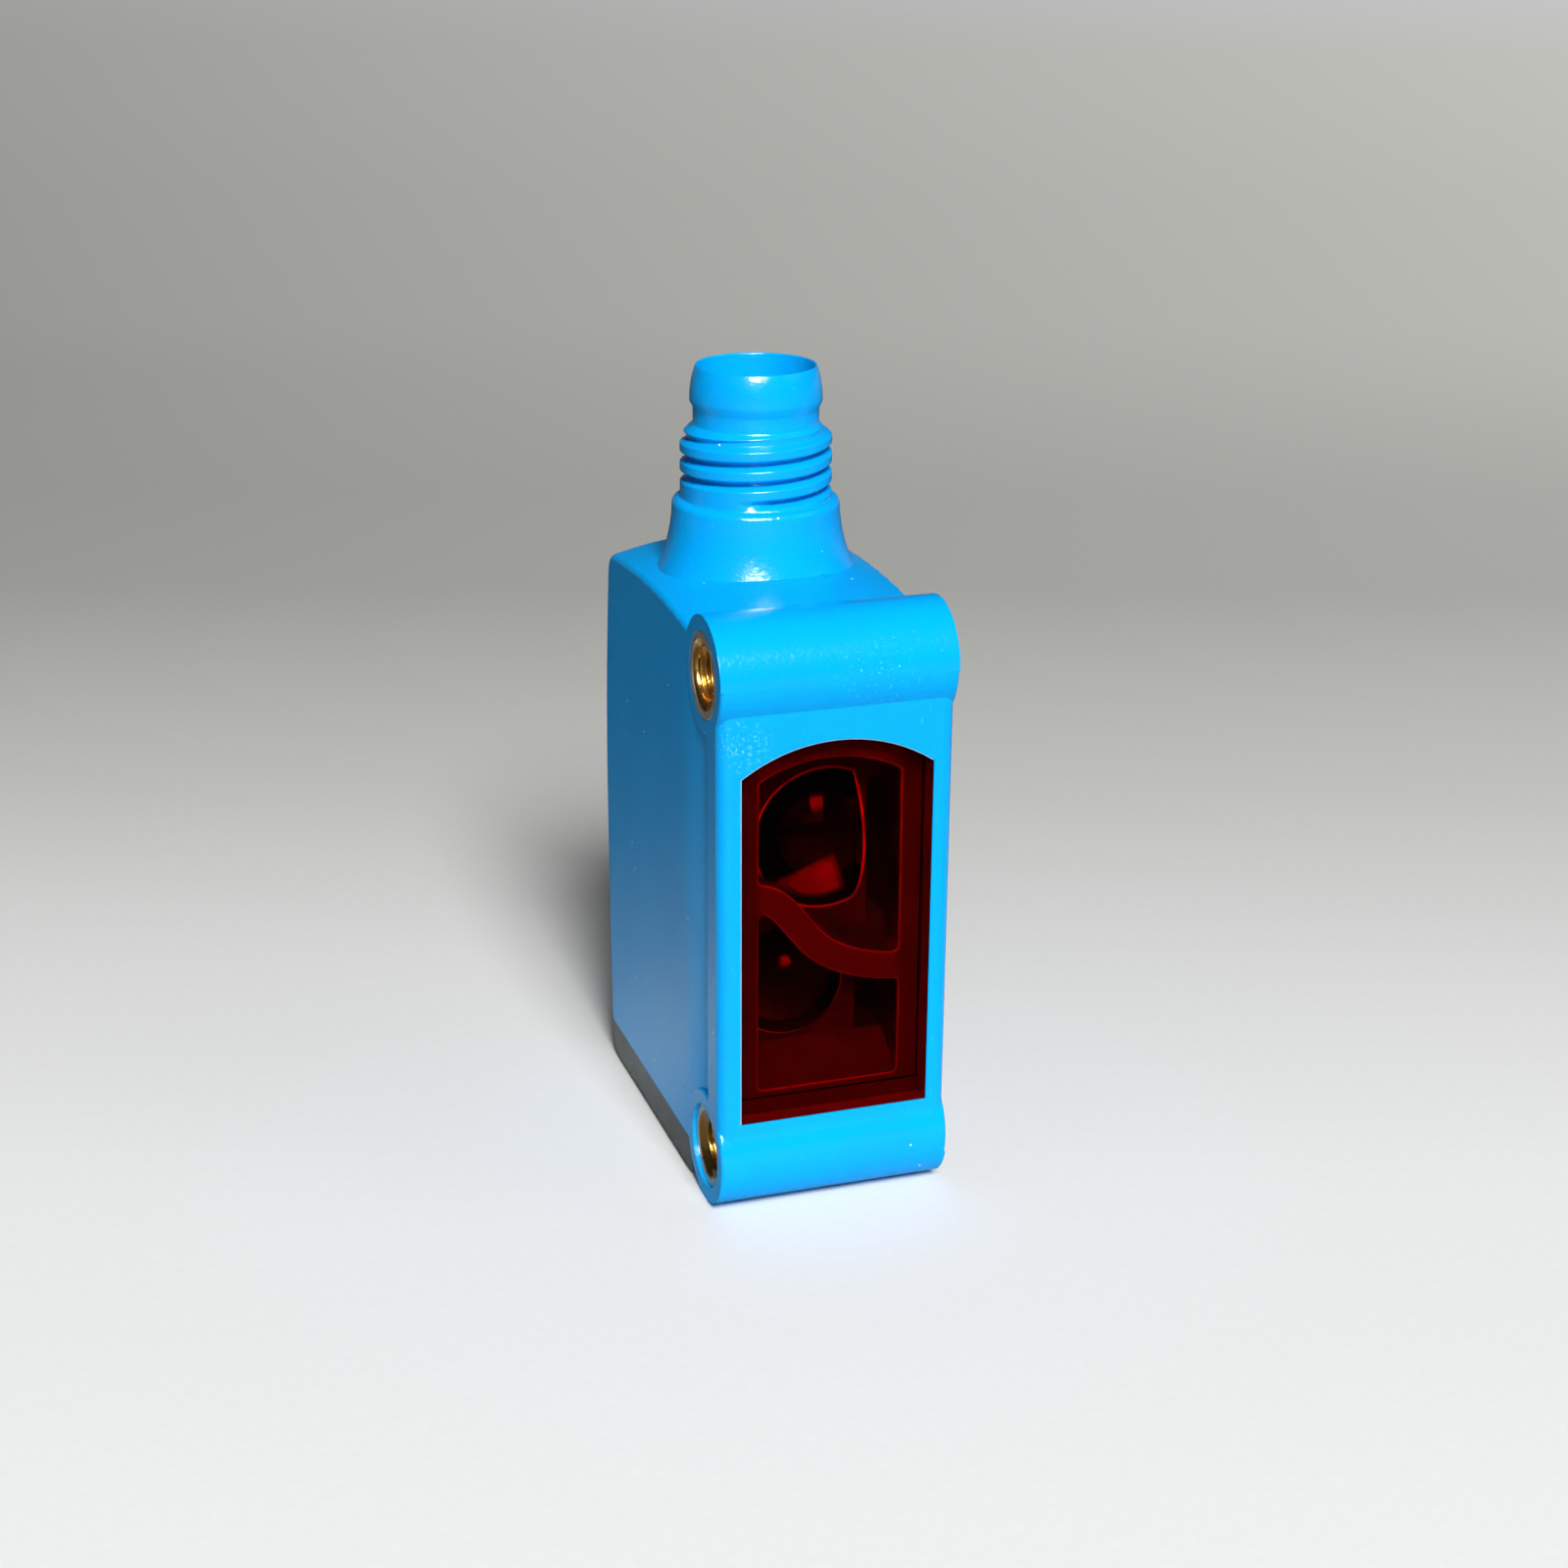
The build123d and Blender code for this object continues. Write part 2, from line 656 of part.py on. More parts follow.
# Indicator cap: closing plate, spigot with its seal groove, and adjuster collar
with BuildPart() as indicator_cap:
    with BuildSketch(Plane.YZ) as outline:
        with BuildLine():
            Polyline((cap_front, 0), (cap_rear_foot, 0), (foot_y, cap_height), (cap_front, cap_height),
                     close=True)
        make_face()
        fillet(outline.vertices().sort_by(Axis.X)[-2:].sort_by(Axis.Y)[0], cap_corner_radius)
    extrude(amount=half_width, both=True)
    chamfer(indicator_cap.faces().sort_by(Axis.Z)[0].edges().filter_by(Axis.Y), cap_edge_radius)
    with BuildSketch(Plane.XY):
        add(scoop_outline())
    extrude(amount=cap_height, mode=Mode.SUBTRACT)
    with BuildSketch(Plane.YZ):
        with Locations((boss_y, lower_axis)):
            Circle(boss_radius + cap_gap)
    extrude(amount=half_width, both=True, mode=Mode.SUBTRACT)

    # Spigot pushed into the housing, grooved for the seal
    with BuildSketch(Plane.XY.offset(cap_height)):
        add(spigot_outline(cap_gap))
    extrude(amount=spigot_height)
    with BuildSketch(Plane.XY.offset(cap_height + seal_rise)):
        add(spigot_outline(-1))
        add(spigot_outline(cap_gap + seal_depth), mode=Mode.SUBTRACT)
    extrude(amount=seal_height, mode=Mode.SUBTRACT)
    with BuildSketch(Plane.XY.offset(cap_floor)):
        add(spigot_outline(cap_gap + spigot_wall))
    extrude(amount=indicator_board_z - cap_floor, mode=Mode.SUBTRACT)

    # Collar that carries the adjuster, and the holes through the floor
    with BuildSketch(Plane.XY.offset(cap_floor)):
        with Locations((0, adjuster_y)):
            Circle(adjuster_radius + adjuster_gap + collar_wall)
    extrude(amount=collar_top - cap_floor)
    with BuildSketch(Plane.XY):
        with Locations((0, adjuster_y)):
            Circle(adjuster_radius + adjuster_gap)
        with Locations(*guide_places):
            Circle(guide_radius)
    extrude(amount=collar_top, mode=Mode.SUBTRACT)
    mouth = indicator_cap.faces().sort_by(Axis.Z)[0].edges().filter_by(GeomType.CIRCLE)
    chamfer(mouth.sort_by(SortBy.RADIUS)[-1], adjuster_mouth_chamfer)

indicator_cap.part.label = "indicator_cap"
export_step(indicator_cap.part, "parts/indicator_cap.step")

# Seal in the spigot's groove
with BuildPart() as cap_seal:
    with BuildSketch(Plane.XY.offset(cap_height + seal_rise)):
        add(spigot_outline(seal_squeeze))
        add(spigot_outline(cap_gap + seal_depth), mode=Mode.SUBTRACT)
    extrude(amount=seal_height)

cap_seal.part.label = "cap_seal"
export_step(cap_seal.part, "parts/cap_seal.step")

# Indicator board, lying on the spigot
with BuildPart() as indicator_board:
    with BuildSketch(Plane.XY.offset(indicator_board_z)):
        add(spigot_outline(board_gap))
    extrude(amount=board_thickness)

indicator_board.part.label = "indicator_board"
export_step(indicator_board.part, "parts/indicator_board.step")

# Indicator lights and their guides to the cap's underside
for name, place in zip(("power", "output"), guide_places):
    with BuildPart() as led:
        with BuildSketch(Plane.XY.offset(indicator_board_z - led_height)):
            with Locations(place):
                Rectangle(indicator_led_width, indicator_led_depth)
        extrude(amount=led_height)
    led.part.label = f"{name}_led"
    export_step(led.part, f"parts/{name}_led.step")

    with BuildPart() as guide:
        with BuildSketch(Plane.XY.offset(guide_recess)):
            with Locations(place):
                Circle(guide_radius)
        extrude(amount=indicator_board_z - led_height - guide_recess)
        with BuildSketch(Plane.XY.offset(cap_floor)):
            with Locations(place):
                Circle(guide_radius + guide_collar_width)
        extrude(amount=guide_collar_height)
    guide.part.label = f"{name}_light_guide"
    export_step(guide.part, f"parts/{name}_light_guide.step")

# Trimmer body under the indicator board
with BuildPart() as trimmer_body:
    with BuildSketch(Plane.XY.offset(trimmer_foot)) as outline:
        with Locations((0, adjuster_y)):
            Rectangle(trimmer_size, trimmer_size)
        fillet(outline.vertices(), trimmer_corner_radius)
    extrude(amount=indicator_board_z - trimmer_foot)
    with BuildSketch(Plane.XY.offset(trimmer_foot)):
        with Locations((0, adjuster_y)):
            Circle(adjuster_disc_radius + adjuster_gap)
    extrude(amount=disc_top + adjuster_gap - trimmer_foot, mode=Mode.SUBTRACT)

trimmer_body.part.label = "trimmer_body"
export_step(trimmer_body.part, "parts/trimmer_body.step")

# Sensitivity adjuster: the rotor that a screwdriver turns from below
with BuildPart() as sensitivity_adjuster:
    with BuildSketch(Plane.XY.offset(adjuster_recess)):
        with Locations((0, adjuster_y)):
            Circle(adjuster_radius)
    extrude(amount=disc_foot - adjuster_recess)
    with BuildSketch(Plane.XY.offset(disc_foot)):
        with Locations((0, adjuster_y)):
            Circle(adjuster_disc_radius)
    extrude(amount=disc_top - disc_foot)
    with BuildSketch(Plane.XY.offset(adjuster_recess)):
        with Locations((0, adjuster_y)):
            Rectangle(adjuster_slot_length, adjuster_slot_width)
            Rectangle(adjuster_slot_width, adjuster_slot_length)
    extrude(amount=adjuster_slot_depth, mode=Mode.SUBTRACT)

sensitivity_adjuster.part.label = "sensitivity_adjuster"
export_step(sensitivity_adjuster.part, "parts/sensitivity_adjuster.step")

# Contact carrier: flange under the ceiling, neck up into the plug socket
with BuildPart() as contact_carrier:
    with BuildSketch(Plane.XY.offset(contact_flange_z)):
        with Locations((0, plug_y)):
            Circle(contact_flange_radius)
    extrude(amount=contact_flange)
    with BuildSketch(Plane.XY.offset(cavity_top)):
        with Locations((0, plug_y)):
            Circle(socket_radius - socket_gap)
    extrude(amount=contact_top - cavity_top)
    chamfer(contact_carrier.faces().sort_by(Axis.Z)[-1].edges(), contact_chamfer)
    with BuildSketch(Plane.XY.offset(contact_flange_z)):
        with Locations(*pin_places):
            Circle(pin_radius)
    extrude(amount=contact_top - contact_flange_z, mode=Mode.SUBTRACT)

contact_carrier.part.label = "contact_carrier"
export_step(contact_carrier.part, "parts/contact_carrier.step")

# Four round pins, with their tails astride the main board
for number, place in enumerate(pin_places, start=1):
    with BuildPart() as pin:
        with BuildSketch(Plane.XY.offset(contact_flange_z - pin_tail)):
            with Locations(place):
                Circle(pin_radius)
        extrude(amount=pin_top - contact_flange_z + pin_tail)
        fillet(pin.faces().sort_by(Axis.Z)[-1].edges(), pin_tip_radius)
    pin.part.label = f"contact_pin_{number}"
    export_step(pin.part, f"parts/contact_pin_{number}.step")

# Square-section sealing ring around the carrier's neck
with BuildPart() as socket_seal:
    with BuildSketch(plug_plane):
        with Locations((socket_radius - socket_gap + ring_thickness, cavity_top + ring_thickness)):
            Rectangle(2 * ring_thickness, 2 * ring_thickness)
    revolve(axis=plug_axis)

socket_seal.part.label = "socket_seal"
export_step(socket_seal.part, "parts/socket_seal.step")

# Threaded sleeves through both bosses: the thread itself is too fine to model
for name, axis_height, recess in (("upper", upper_axis, 0), ("lower", lower_axis, lower_sleeve_recess)):
    length = body_width - 2 * recess
    with BuildPart() as sleeve:
        with BuildSketch(Plane.YZ.offset(-length / 2)):
            with Locations((boss_y, axis_height)):
                Circle(sleeve_radius)
                Circle(sleeve_bore_radius, mode=Mode.SUBTRACT)
        extrude(amount=length)
        bores = sleeve.edges().filter_by(GeomType.CIRCLE).sort_by(SortBy.RADIUS)[:2]
        chamfer(bores, sleeve_mouth_radius - sleeve_bore_radius)
    sleeve.part.label = f"{name}_sleeve"
    export_step(sleeve.part, f"parts/{name}_sleeve.step")
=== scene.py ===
import json
import math

import bmesh
import bpy
from mathutils import Matrix, Vector

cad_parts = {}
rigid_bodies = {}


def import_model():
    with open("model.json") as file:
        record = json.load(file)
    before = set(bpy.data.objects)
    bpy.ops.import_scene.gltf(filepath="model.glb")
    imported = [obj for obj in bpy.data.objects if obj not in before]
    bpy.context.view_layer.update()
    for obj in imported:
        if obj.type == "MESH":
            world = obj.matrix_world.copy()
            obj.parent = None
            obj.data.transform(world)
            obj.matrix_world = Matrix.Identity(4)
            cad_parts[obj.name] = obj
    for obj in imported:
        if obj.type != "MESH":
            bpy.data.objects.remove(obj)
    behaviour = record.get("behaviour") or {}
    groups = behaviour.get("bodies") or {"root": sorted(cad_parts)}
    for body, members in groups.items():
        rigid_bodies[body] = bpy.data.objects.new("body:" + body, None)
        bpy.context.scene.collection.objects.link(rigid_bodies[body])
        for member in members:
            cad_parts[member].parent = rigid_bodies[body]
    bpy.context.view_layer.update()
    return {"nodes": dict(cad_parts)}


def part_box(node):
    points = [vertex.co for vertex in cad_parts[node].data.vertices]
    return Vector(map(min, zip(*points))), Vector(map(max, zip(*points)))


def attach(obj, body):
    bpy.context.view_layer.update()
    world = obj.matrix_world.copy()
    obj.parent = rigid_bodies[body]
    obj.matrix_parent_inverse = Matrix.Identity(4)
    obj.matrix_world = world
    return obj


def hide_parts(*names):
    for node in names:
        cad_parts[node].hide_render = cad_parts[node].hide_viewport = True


for leftover in list(bpy.data.objects):
    bpy.data.objects.remove(leftover)

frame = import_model()
nodes = frame["nodes"]


# Housing shell
# One injection moulding in cyan-blue plastic with a spark-eroded satin face:
# the box, both cross bosses, the bezel round the window and the plug shell
# come out of the same tool, so they share one finish.
BLUE = (0.0005, 0.375, 0.88)
BLUE_DEEP = (0.0005, 0.345, 0.84)
BLUE_PALE = (0.08, 0.55, 0.95)
DUST = (0.85, 0.93, 0.97)
RUB_CONTRAST = 12.0
SPECKS_PER_METRE = 600.0
SPECK_SIZE = 0.032
NOISE_REACH = (0.3, 0.7)
# A colour Mix node has its two colours on these inputs, and its result on this output
MIX_FIRST, MIX_SECOND, MIX_RESULT = 6, 7, 2


def effect_group(name, inputs, outputs):
    """Shader group with named sockets, returned with its input and output nodes."""
    group = bpy.data.node_groups.new(name, "ShaderNodeTree")
    for label, kind, value in inputs:
        socket = group.interface.new_socket(name=label, in_out="INPUT", socket_type=kind)
        if value is not None:
            socket.default_value = value
    for label, kind in outputs:
        group.interface.new_socket(name=label, in_out="OUTPUT", socket_type=kind)
    return group, group.nodes.new("NodeGroupInput"), group.nodes.new("NodeGroupOutput")


def moulded_grain():
    """Fine eroded grain for relief, and a slow mottle for colour and gloss."""
    group, given, result = effect_group(
        "moulded_grain",
        [("Vector", "NodeSocketVector", None), ("Grain", "NodeSocketFloat", 6000.0),
         ("Mottle", "NodeSocketFloat", 300.0)],
        [("Height", "NodeSocketFloat"), ("Mottle", "NodeSocketFloat")])
    grain = group.nodes.new("ShaderNodeTexNoise")
    grain.inputs["Detail"].default_value = 3.0
    grain.inputs["Roughness"].default_value = 0.6
    mottle = group.nodes.new("ShaderNodeTexNoise")
    mottle.inputs["Detail"].default_value = 4.0
    mottle.inputs["Roughness"].default_value = 0.65
    link = group.links.new
    link(given.outputs["Vector"], grain.inputs["Vector"])
    link(given.outputs["Grain"], grain.inputs["Scale"])
    link(given.outputs["Vector"], mottle.inputs["Vector"])
    link(given.outputs["Mottle"], mottle.inputs["Scale"])
    link(grain.outputs["Fac"], result.inputs["Height"])
    link(mottle.outputs["Fac"], result.inputs["Mottle"])
    return group


def handling_marks():
    """Thin dashes of rubbing along one direction, and small pale specks of dust."""
    group, given, result = effect_group(
        "handling_marks",
        [("Vector", "NodeSocketVector", None), ("Stretch", "NodeSocketVector", (1.0, 1.0, 1.0)),
         ("Size", "NodeSocketFloat", 1500.0), ("Rarity", "NodeSocketFloat", 0.66)],
        [("Rub", "NodeSocketFloat"), ("Speck", "NodeSocketFloat")])
    link = group.links.new
    stretched = group.nodes.new("ShaderNodeVectorMath")
    stretched.operation = "MULTIPLY"
    link(given.outputs["Vector"], stretched.inputs[0])
    link(given.outputs["Stretch"], stretched.inputs[1])
    streak = group.nodes.new("ShaderNodeTexNoise")
    streak.inputs["Detail"].default_value = 5.0
    streak.inputs["Roughness"].default_value = 0.7
    link(stretched.outputs["Vector"], streak.inputs["Vector"])
    link(given.outputs["Size"], streak.inputs["Scale"])
    edge = group.nodes.new("ShaderNodeMath")
    edge.operation = "SUBTRACT"
    link(streak.outputs["Fac"], edge.inputs[0])
    link(given.outputs["Rarity"], edge.inputs[1])
    rub = group.nodes.new("ShaderNodeMath")
    rub.operation = "MULTIPLY"
    rub.use_clamp = True
    rub.inputs[1].default_value = RUB_CONTRAST
    link(edge.outputs["Value"], rub.inputs[0])
    link(rub.outputs["Value"], result.inputs["Rub"])
    dots = group.nodes.new("ShaderNodeTexVoronoi")
    dots.inputs["Scale"].default_value = SPECKS_PER_METRE
    link(given.outputs["Vector"], dots.inputs["Vector"])
    near = group.nodes.new("ShaderNodeMath")
    near.operation = "LESS_THAN"
    near.inputs[1].default_value = SPECK_SIZE
    link(dots.outputs["Distance"], near.inputs[0])
    link(near.outputs["Value"], result.inputs["Speck"])
    return group


grain_group = moulded_grain()
marks_group = handling_marks()


def placed_group(material, group, **values):
    """That group in the material, on Object coordinates, with its own values."""
    tree = material.node_tree
    place = tree.nodes.get("Place") or tree.nodes.new("ShaderNodeTexCoord")
    place.name = "Place"
    node = tree.nodes.new("ShaderNodeGroup")
    node.node_tree = group
    tree.links.new(place.outputs["Object"], node.inputs["Vector"])
    for label, value in values.items():
        node.inputs[label].default_value = value
    return node


def ranged(material, source, start, end, low=0.0, high=1.0):
    """Maps a value's run from start to end onto low to high, and holds it beyond."""
    node = material.node_tree.nodes.new("ShaderNodeMapRange")
    node.inputs["From Min"].default_value = start
    node.inputs["From Max"].default_value = end
    node.inputs["To Min"].default_value = low
    node.inputs["To Max"].default_value = high
    material.node_tree.links.new(source, node.inputs["Value"])
    return node.outputs["Result"]


def calculated(material, operation, *values):
    """One sum on sockets or numbers."""
    tree = material.node_tree
    node = tree.nodes.new("ShaderNodeMath")
    node.operation = operation
    for socket, value in zip(node.inputs, values):
        if isinstance(value, float):
            socket.default_value = value
        else:
            tree.links.new(value, socket)
    return node.outputs["Value"]


def blended(material, factor, first, second, way="MIX"):
    """Mix or product of two colours or sockets, by a mask or a number."""
    tree = material.node_tree
    node = tree.nodes.new("ShaderNodeMix")
    node.data_type = "RGBA"
    node.blend_type = way
    for socket, value in ((node.inputs["Factor"], factor), (node.inputs[MIX_FIRST], first),
                          (node.inputs[MIX_SECOND], second)):
        if isinstance(value, float):
            socket.default_value = value
        elif isinstance(value, tuple):
            socket.default_value = (*value, 1.0)
        else:
            tree.links.new(value, socket)
    return node.outputs[MIX_RESULT]


def laid_over(material, mask, colour):
    """Lays a colour or socket over the material's own colour, where the mask is white."""
    base = material.node_tree.nodes["Principled BSDF"].inputs["Base Color"]
    under = base.links[0].from_socket
    material.node_tree.links.new(blended(material, mask, under, colour), base)


def finish(name, light, dark, roughness, grain=6000.0, mottle=300.0, relief=0.01,
           strength=0.3, soft_edge=0.0, **plain):
    """Principled material with grain relief, mottled colour and mottled gloss.
    relief and soft_edge are millimetres; plain values go on the shader's own sockets."""
    material = bpy.data.materials.new(name)
    material.use_nodes = True
    tree = material.node_tree
    shader = tree.nodes["Principled BSDF"]
    texture = placed_group(material, grain_group, Grain=grain, Mottle=mottle)
    mottling = texture.outputs["Mottle"]
    colour = blended(material, ranged(material, mottling, *NOISE_REACH), light, dark)
    tree.links.new(colour, shader.inputs["Base Color"])
    tree.links.new(ranged(material, mottling, *NOISE_REACH, *roughness), shader.inputs["Roughness"])
    bump = tree.nodes.new("ShaderNodeBump")
    bump.inputs["Distance"].default_value = relief / 1000
    bump.inputs["Strength"].default_value = strength
    tree.links.new(texture.outputs["Height"], bump.inputs["Height"])
    if soft_edge:
        rounding = tree.nodes.new("ShaderNodeBevel")
        rounding.samples = 6
        rounding.inputs["Radius"].default_value = soft_edge / 1000
        tree.links.new(rounding.outputs["Normal"], bump.inputs["Normal"])
    tree.links.new(bump.outputs["Normal"], shader.inputs["Normal"])
    for label, value in plain.items():
        shader.inputs[label.replace("_", " ")].default_value = value
    return material


def painted(node_name, material):
    """Gives a carried-over CAD node its own finish."""
    for place in nodes[node_name].material_slots:
        place.material = material


def rubbed(material, stretch, size, rarity, pale, amount):
    """Adds pale rub marks and dust specks over a finish's colour."""
    marks = placed_group(material, marks_group, Stretch=stretch, Size=size, Rarity=rarity)
    laid_over(material, calculated(material, "MULTIPLY", marks.outputs["Rub"], amount), pale)
    laid_over(material, marks.outputs["Speck"], DUST)


def scuffed_at(material, centre, reach, size, rarity, pale):
    """Pale grain where handling has worn one spot, full within a third of the reach in
    millimetres and thinning out to it."""
    tree = material.node_tree
    off = tree.nodes.new("ShaderNodeVectorMath")
    off.operation = "DISTANCE"
    off.inputs[1].default_value = [part / 1000 for part in centre]
    tree.links.new(tree.nodes["Place"].outputs["Object"], off.inputs[0])
    near = ranged(material, off.outputs["Value"], reach / 1000, reach / 3000)
    marks = placed_group(material, marks_group, Size=size, Rarity=rarity)
    laid_over(material, calculated(material, "MULTIPLY", near, marks.outputs["Rub"]), pale)


blue_plastic = finish("blue_plastic", BLUE, BLUE_DEEP, (0.13, 0.20), grain=4200.0, mottle=260.0,
                      relief=0.03, strength=0.75, soft_edge=0.07, Specular_IOR_Level=0.23)
rubbed(blue_plastic, (1.0, 1.0, 0.35), 2600.0, 0.66, BLUE_PALE, 0.5)
# Two spots are worn most: the bezel's left shoulder and the front of the upper boss
scuffed_at(blue_plastic, (-4.86, -10.75, 25.65), 1.7, 6500.0, 0.56, (0.14, 0.60, 0.94))
scuffed_at(blue_plastic, (2.39, -10.6, 28.49), 2.6, 5600.0, 0.60, (0.10, 0.66, 1.0))


def linked(name, mesh):
    """New object for a finished mesh, at the origin."""
    piece = bpy.data.objects.new(name, mesh)
    bpy.context.scene.collection.objects.link(piece)
    return piece


# Plug shell
# The round end of the same moulding, above its flared root: the fine coupling
# thread, a plain neck, and a latching bead round the open socket.
PLUG_Y = 2.66
SHOULDER = 34.4
THREAD_TOP = 37.6
NECK_START = 38.3
BEAD_FOOT = 39.4
BEAD_LENGTH = 1.74
RIM_HEIGHT = 41.2
SOCKET_FLOOR = 30.4
CREST_RADIUS = 3.92
ROOT_RADIUS = 3.42
NECK_RADIUS = 3.24
BEAD_RADIUS = 3.41
BEAD_DRAW = 0.29
SOCKET_RADIUS = 2.99
PLUG_STEPS = 288
THREAD_STEP = 0.035
WELD = 0.0005

# The thread's groove: its height 18.4 degrees in front of the right side, its half width and
# V profile, how many degrees it runs down from there to its foot, and over how many of
# them it deepens
PITCH = 1.0
GROOVE_HEIGHT = 37.0
GROOVE_TURN = 18.4
GROOVE_HALF = 0.6
GROOVE_SHAPE = ((0.0, 0.0), (0.04, 0.03), (0.17, 0.60), (0.25, 0.92), (0.33, 1.06), (0.60, 1.30))
DEGREES_DOWN = 823.6
RUN_IN = 32


def groove_radius(away):
    """Radius in one groove's profile, a flared V, at a distance along the axis from its root."""
    for (near, low), (far, high) in zip(GROOVE_SHAPE, GROOVE_SHAPE[1:]):
        if away <= far:
            share = low + (high - low) * (away - near) / (far - near)
            return ROOT_RADIUS + share * (CREST_RADIUS - ROOT_RADIUS)
    return 2 * CREST_RADIUS


def thread_radius(angle, height, outside):
    """Radius of the threaded barrel where its plain outside radius is given."""
    best = outside
    for lap in range(-4, 3):
        turned = math.degrees(angle) + GROOVE_TURN + 360 * lap
        away = abs(height - (GROOVE_HEIGHT + PITCH * turned / 360))
        depth = min(max((turned + DEGREES_DOWN) / RUN_IN, 0.0), 1.0)
        depth = depth * depth * (3 - 2 * depth)
        if depth and away < GROOVE_HALF and groove_radius(away) < CREST_RADIUS:
            cut = outside - depth * (CREST_RADIUS - groove_radius(away))
            best = min(best, max(cut, ROOT_RADIUS))
    return best


def spun(profile, axis, centre, steps):
    """Bmesh of a profile of points swept once round an axis, in millimetres."""
    bm = bmesh.new()
    line = [bm.verts.new(point) for point in profile]
    edges = [bm.edges.new(pair) for pair in zip(line, line[1:])]
    bmesh.ops.spin(bm, geom=line + edges, cent=centre, axis=axis, dvec=(0, 0, 0),
                   angle=2 * math.pi, steps=steps, use_merge=True)
    return bm


def stepped(points, longest):
    """The same profile with no run longer than given."""
    run = [points[0]]
    for (a, b), (c, d) in zip(points, points[1:]):
        parts = max(1, math.ceil(math.hypot(c - a, d - b) / longest))
        run += [(a + (c - a) * k / parts, b + (d - b) * k / parts) for k in range(1, parts + 1)]
    return run


def in_metres(bm, name, smooth=True):
    """Object from a millimetre bmesh."""
    bmesh.ops.scale(bm, vec=(0.001, 0.001, 0.001), verts=bm.verts)
    mesh = bpy.data.meshes.new(name)
    bm.to_mesh(mesh)
    bm.free()
    if smooth:
        mesh.shade_smooth()
    return linked(name, mesh)


fillet = [(3.975, 34.392), (3.955, 34.402), (3.935, 34.43), (3.922, 34.48)]
barrel = stepped([(CREST_RADIUS, 34.55), (CREST_RADIUS, THREAD_TOP), (NECK_RADIUS + 0.03, 38.22)],
                 THREAD_STEP)
neck = [(NECK_RADIUS, NECK_START), (NECK_RADIUS, 38.98), (3.26, 39.08)]
bead = [(BEAD_RADIUS - BEAD_DRAW * t ** 2.2, BEAD_FOOT + BEAD_LENGTH * t)
        for t in [k / 8 for k in range(9)]]
rim = [(3.10, 41.18), (3.07, RIM_HEIGHT), (3.04, RIM_HEIGHT), (3.01, 41.17)]
socket = [(SOCKET_RADIUS, 41.10), (SOCKET_RADIUS, SOCKET_FLOOR)]
plug_bm = spun([(r, PLUG_Y, z) for r, z in fillet + barrel + neck + bead + rim + socket],
               (0, 0, 1), (0, PLUG_Y, 0), PLUG_STEPS)
for corner in plug_bm.verts:
    x, y, z = corner.co
    plain = math.hypot(x, y - PLUG_Y)
    if SHOULDER < z < NECK_START and plain > NECK_RADIUS + 0.001:
        cut = thread_radius(math.atan2(y - PLUG_Y, x), z, plain)
        corner.co = (x * cut / plain, PLUG_Y + (y - PLUG_Y) * cut / plain, z)
bmesh.ops.remove_doubles(plug_bm, verts=plug_bm.verts, dist=WELD)
bmesh.ops.recalc_face_normals(plug_bm, faces=plug_bm.faces)
# The shell is open at both ends, so one face of the bead's outside tells which way it faces
bead_face = next(f for f in plug_bm.faces if 39.5 < f.calc_center_median().z < 40.5
                 and math.dist(f.calc_center_median().xy, (0, PLUG_Y)) > 3.1)
middle = bead_face.calc_center_median()
if bead_face.normal.dot(Vector((middle.x, middle.y - PLUG_Y, 0))) < 0:
    bmesh.ops.reverse_faces(plug_bm, faces=plug_bm.faces)
plug_shell = in_metres(plug_bm, "plug_shell")
plug_shell.data.materials.append(blue_plastic)
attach(plug_shell, "sensor")
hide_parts("housing")


# Crown of the housing
# The moulding's top between the plug's flared root and the upper boss. It swells across
# its width, up to 0.8 mm in the middle, so it meets both higher up there. Its walls and
# the rest of the moulding are the CAD housing's own surface, without its plain barrel.
CROWN_SWELL = 0.8
CROWN_FLAT = 5.75
CROWN_ROUND = 0.35
SWELL_SLOPE = math.radians(15.6)
SWELL_EDGE = CROWN_FLAT + CROWN_ROUND * math.sin(SWELL_SLOPE)
SWELL_START = 29.05
SWELL_RUN = 0.95

# The plain crown's line along the housing, and the rounding of its rear edge
CROWN_TOP = 30.55
CROWN_TOP_Y = 1.9
CROWN_FALL = 0.00262
CROWN_BEND = 0.008597
CROWN_FOOT = 28.5
CROWN_FRONT = -6.6
REAR_ROUND_START = 8.604
REAR_ROUND = 1.3

# The plug's flared root and the upper boss, how far the crown is drawn on into both, and
# how finely it is sliced
FLARE_RADIUS = 5.15
FLARE_LINE = 5.32
BOSS_Y = -7.9
BOSS_REAR = -5.0
BOSS_RADIUS = 3
UPPER_BOSS_Z = 28.4
ROOT_SHRINK = 0.84
BOSS_FORWARD = 1.2
SLICE_ACROSS = 0.4
SLICE_ALONG = 0.6
FIRST_SLICE = -5.3


def crown_height(y):
    """Height of the plain crown along the housing."""
    return CROWN_TOP - CROWN_FALL * (y - CROWN_TOP_Y) - CROWN_BEND * (y - CROWN_TOP_Y) ** 2


def on_boss(y, z):
    """Whether a place lies on the upper boss's cylinder."""
    off = abs(math.hypot(y - BOSS_Y, z - UPPER_BOSS_Z) - BOSS_RADIUS)
    return y < BOSS_REAR and off < 0.02


